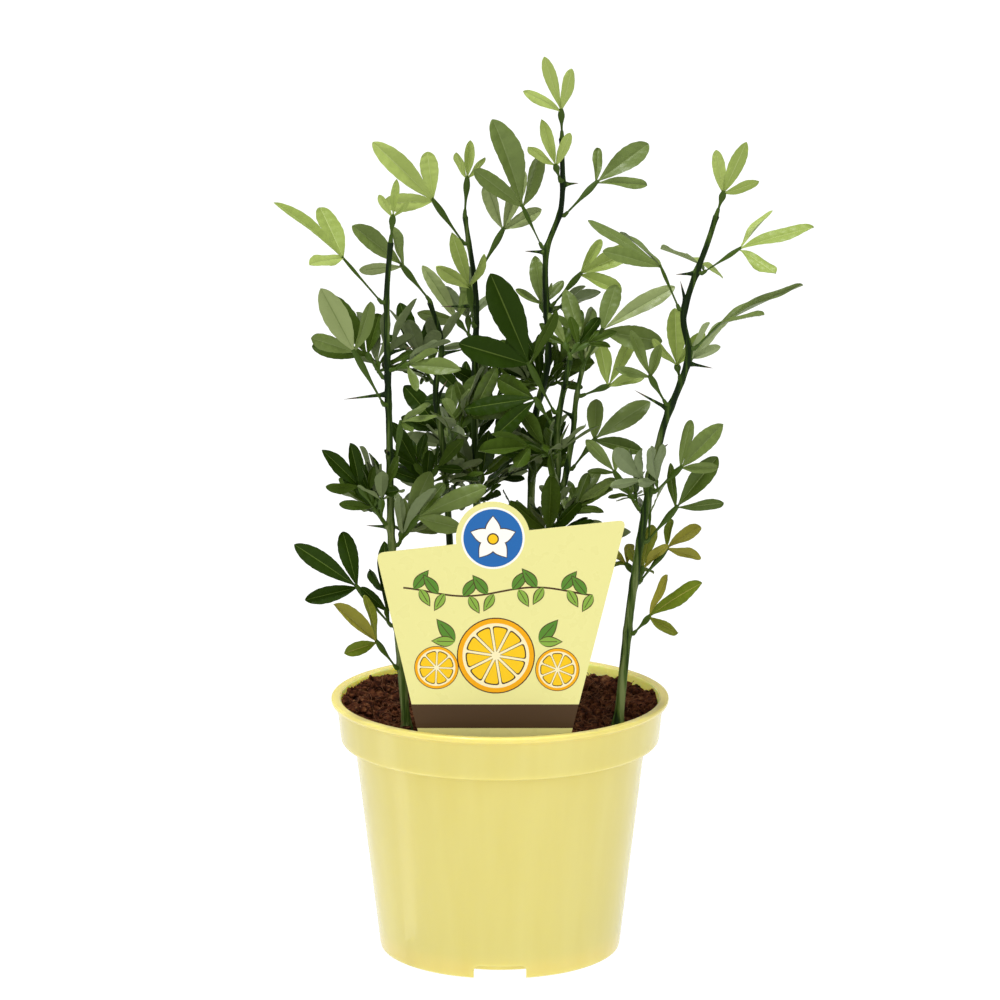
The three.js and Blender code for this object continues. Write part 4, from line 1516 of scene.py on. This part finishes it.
def tinted_leaves(tint, bearers):
    """Points, faces, finish numbers and node names of all leaves of a tint on some of the limbs."""
    points = []
    faces = []
    slots = []
    nodes = []
    for spray in sprays:
        if spray["row"][8] != tint or spray["stem"] not in bearers:
            continue
        nodes.append(spray["name"])
        for i, blades in enumerate(spray["leaves"] + spray["small_leaves"]):
            join_on(stalk_points, stalk_faces, *winged_stalk(blades[0]))
            # Higher sprays lean to paler shades: partly young growth, partly painted top light.
            youth_and_top_light = (spray["row"][0] - youth_and_light_start) / youth_and_light_rise
            leaf_shade = 3 * between(youth_and_top_light, next(spray["fine"]), shade_chance)
            for k, blade in enumerate(blades[1:]):
                slender = k == 0 and i < len(spray["leaves"])
                *shape, finish = leaflet(blade, slender, spray["fine"])
                join_on(points, faces, *shape)
                play = next(spray["fine"])
                shade = 3 * play if tint == "turning" else leaf_shade + leaflet_play * (play - 0.5)
                shade = max(0, min(2, int(shade)))
                slots.extend((shade, 3, 4)[kind] for kind in finish)
        start, outward, bend, end = grow_twig(spray)
        path = [start - outward * twig_sink, start, bend, between(bend, end, 0.5), end]
        radii = [share * twig_radius for share in twig_taper]
        join_on(stalk_points, stalk_faces, *tube(path, radii, twig_sides))
    return points, faces, slots, nodes


for tint in leaf_greens:
    finishes = [leaf_finish(tint, number) for number in range(len(leaf_roughness))]
    for side, bearers in (("left", limbs[:left_limbs]), ("right", limbs[left_limbs:])):
        points, faces, slots, nodes = tinted_leaves(tint, bearers)
        foliage = new_piece(f"leaves_{tint}_{side}", points, faces, finishes, slots, crease=leaf_crease)
        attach(foliage, "root")
        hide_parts(*nodes)

stalks = new_piece("leaf_stalks", stalk_points, stalk_faces, [stalk_green], crease=stalk_crease)
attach(stalks, "root")

# Floor
# The pot stands on a wide light table. A bright card lies on it at the left, which the pot's side mirrors as
# a narrow streak.
floor_reach = 30
floor_drop = 0.0002
card_lift = 0.0003
card_near = {"x": -0.07, "y": -0.04, "half": 0.007}
card_far = {"x": -0.45, "y": -0.038, "half": 0.068}
sheet_grey = (84, 84, 84)


def glowing_sheet(name, corners, finish, roughness, uneven, glow):
    """A flat grey sheet that gives off an even white light."""
    mesh = bpy.data.meshes.new(name)
    mesh.from_pydata(corners, [], [(0, 1, 2, 3)])
    material = new_material(finish, sheet_grey, roughness, uneven, 0.1)[0]
    shader = material.node_tree.nodes["Principled BSDF"]
    shader.inputs["Emission Color"].default_value = (1, 1, 1, 1)
    shader.inputs["Emission Strength"].default_value = glow
    mesh.materials.append(material)
    return add_object(name, mesh)


floor_corners = [
    (x * floor_reach, y * floor_reach, -floor_drop) for x, y in ((-1, -1), (1, -1), (1, 1), (-1, 1))
]
card_corners = [
    (end["x"], end["y"] + side * end["half"], card_lift)
    for end, side in ((card_far, -1), (card_far, 1), (card_near, 1), (card_near, -1))
]
floor = glowing_sheet("floor", floor_corners, "light_table", 0.9, (40, 0.85, 0.95), 1)
card = glowing_sheet("light_card", card_corners, "light_card", 0.8, (40, 0.75, 0.85), 1.8)
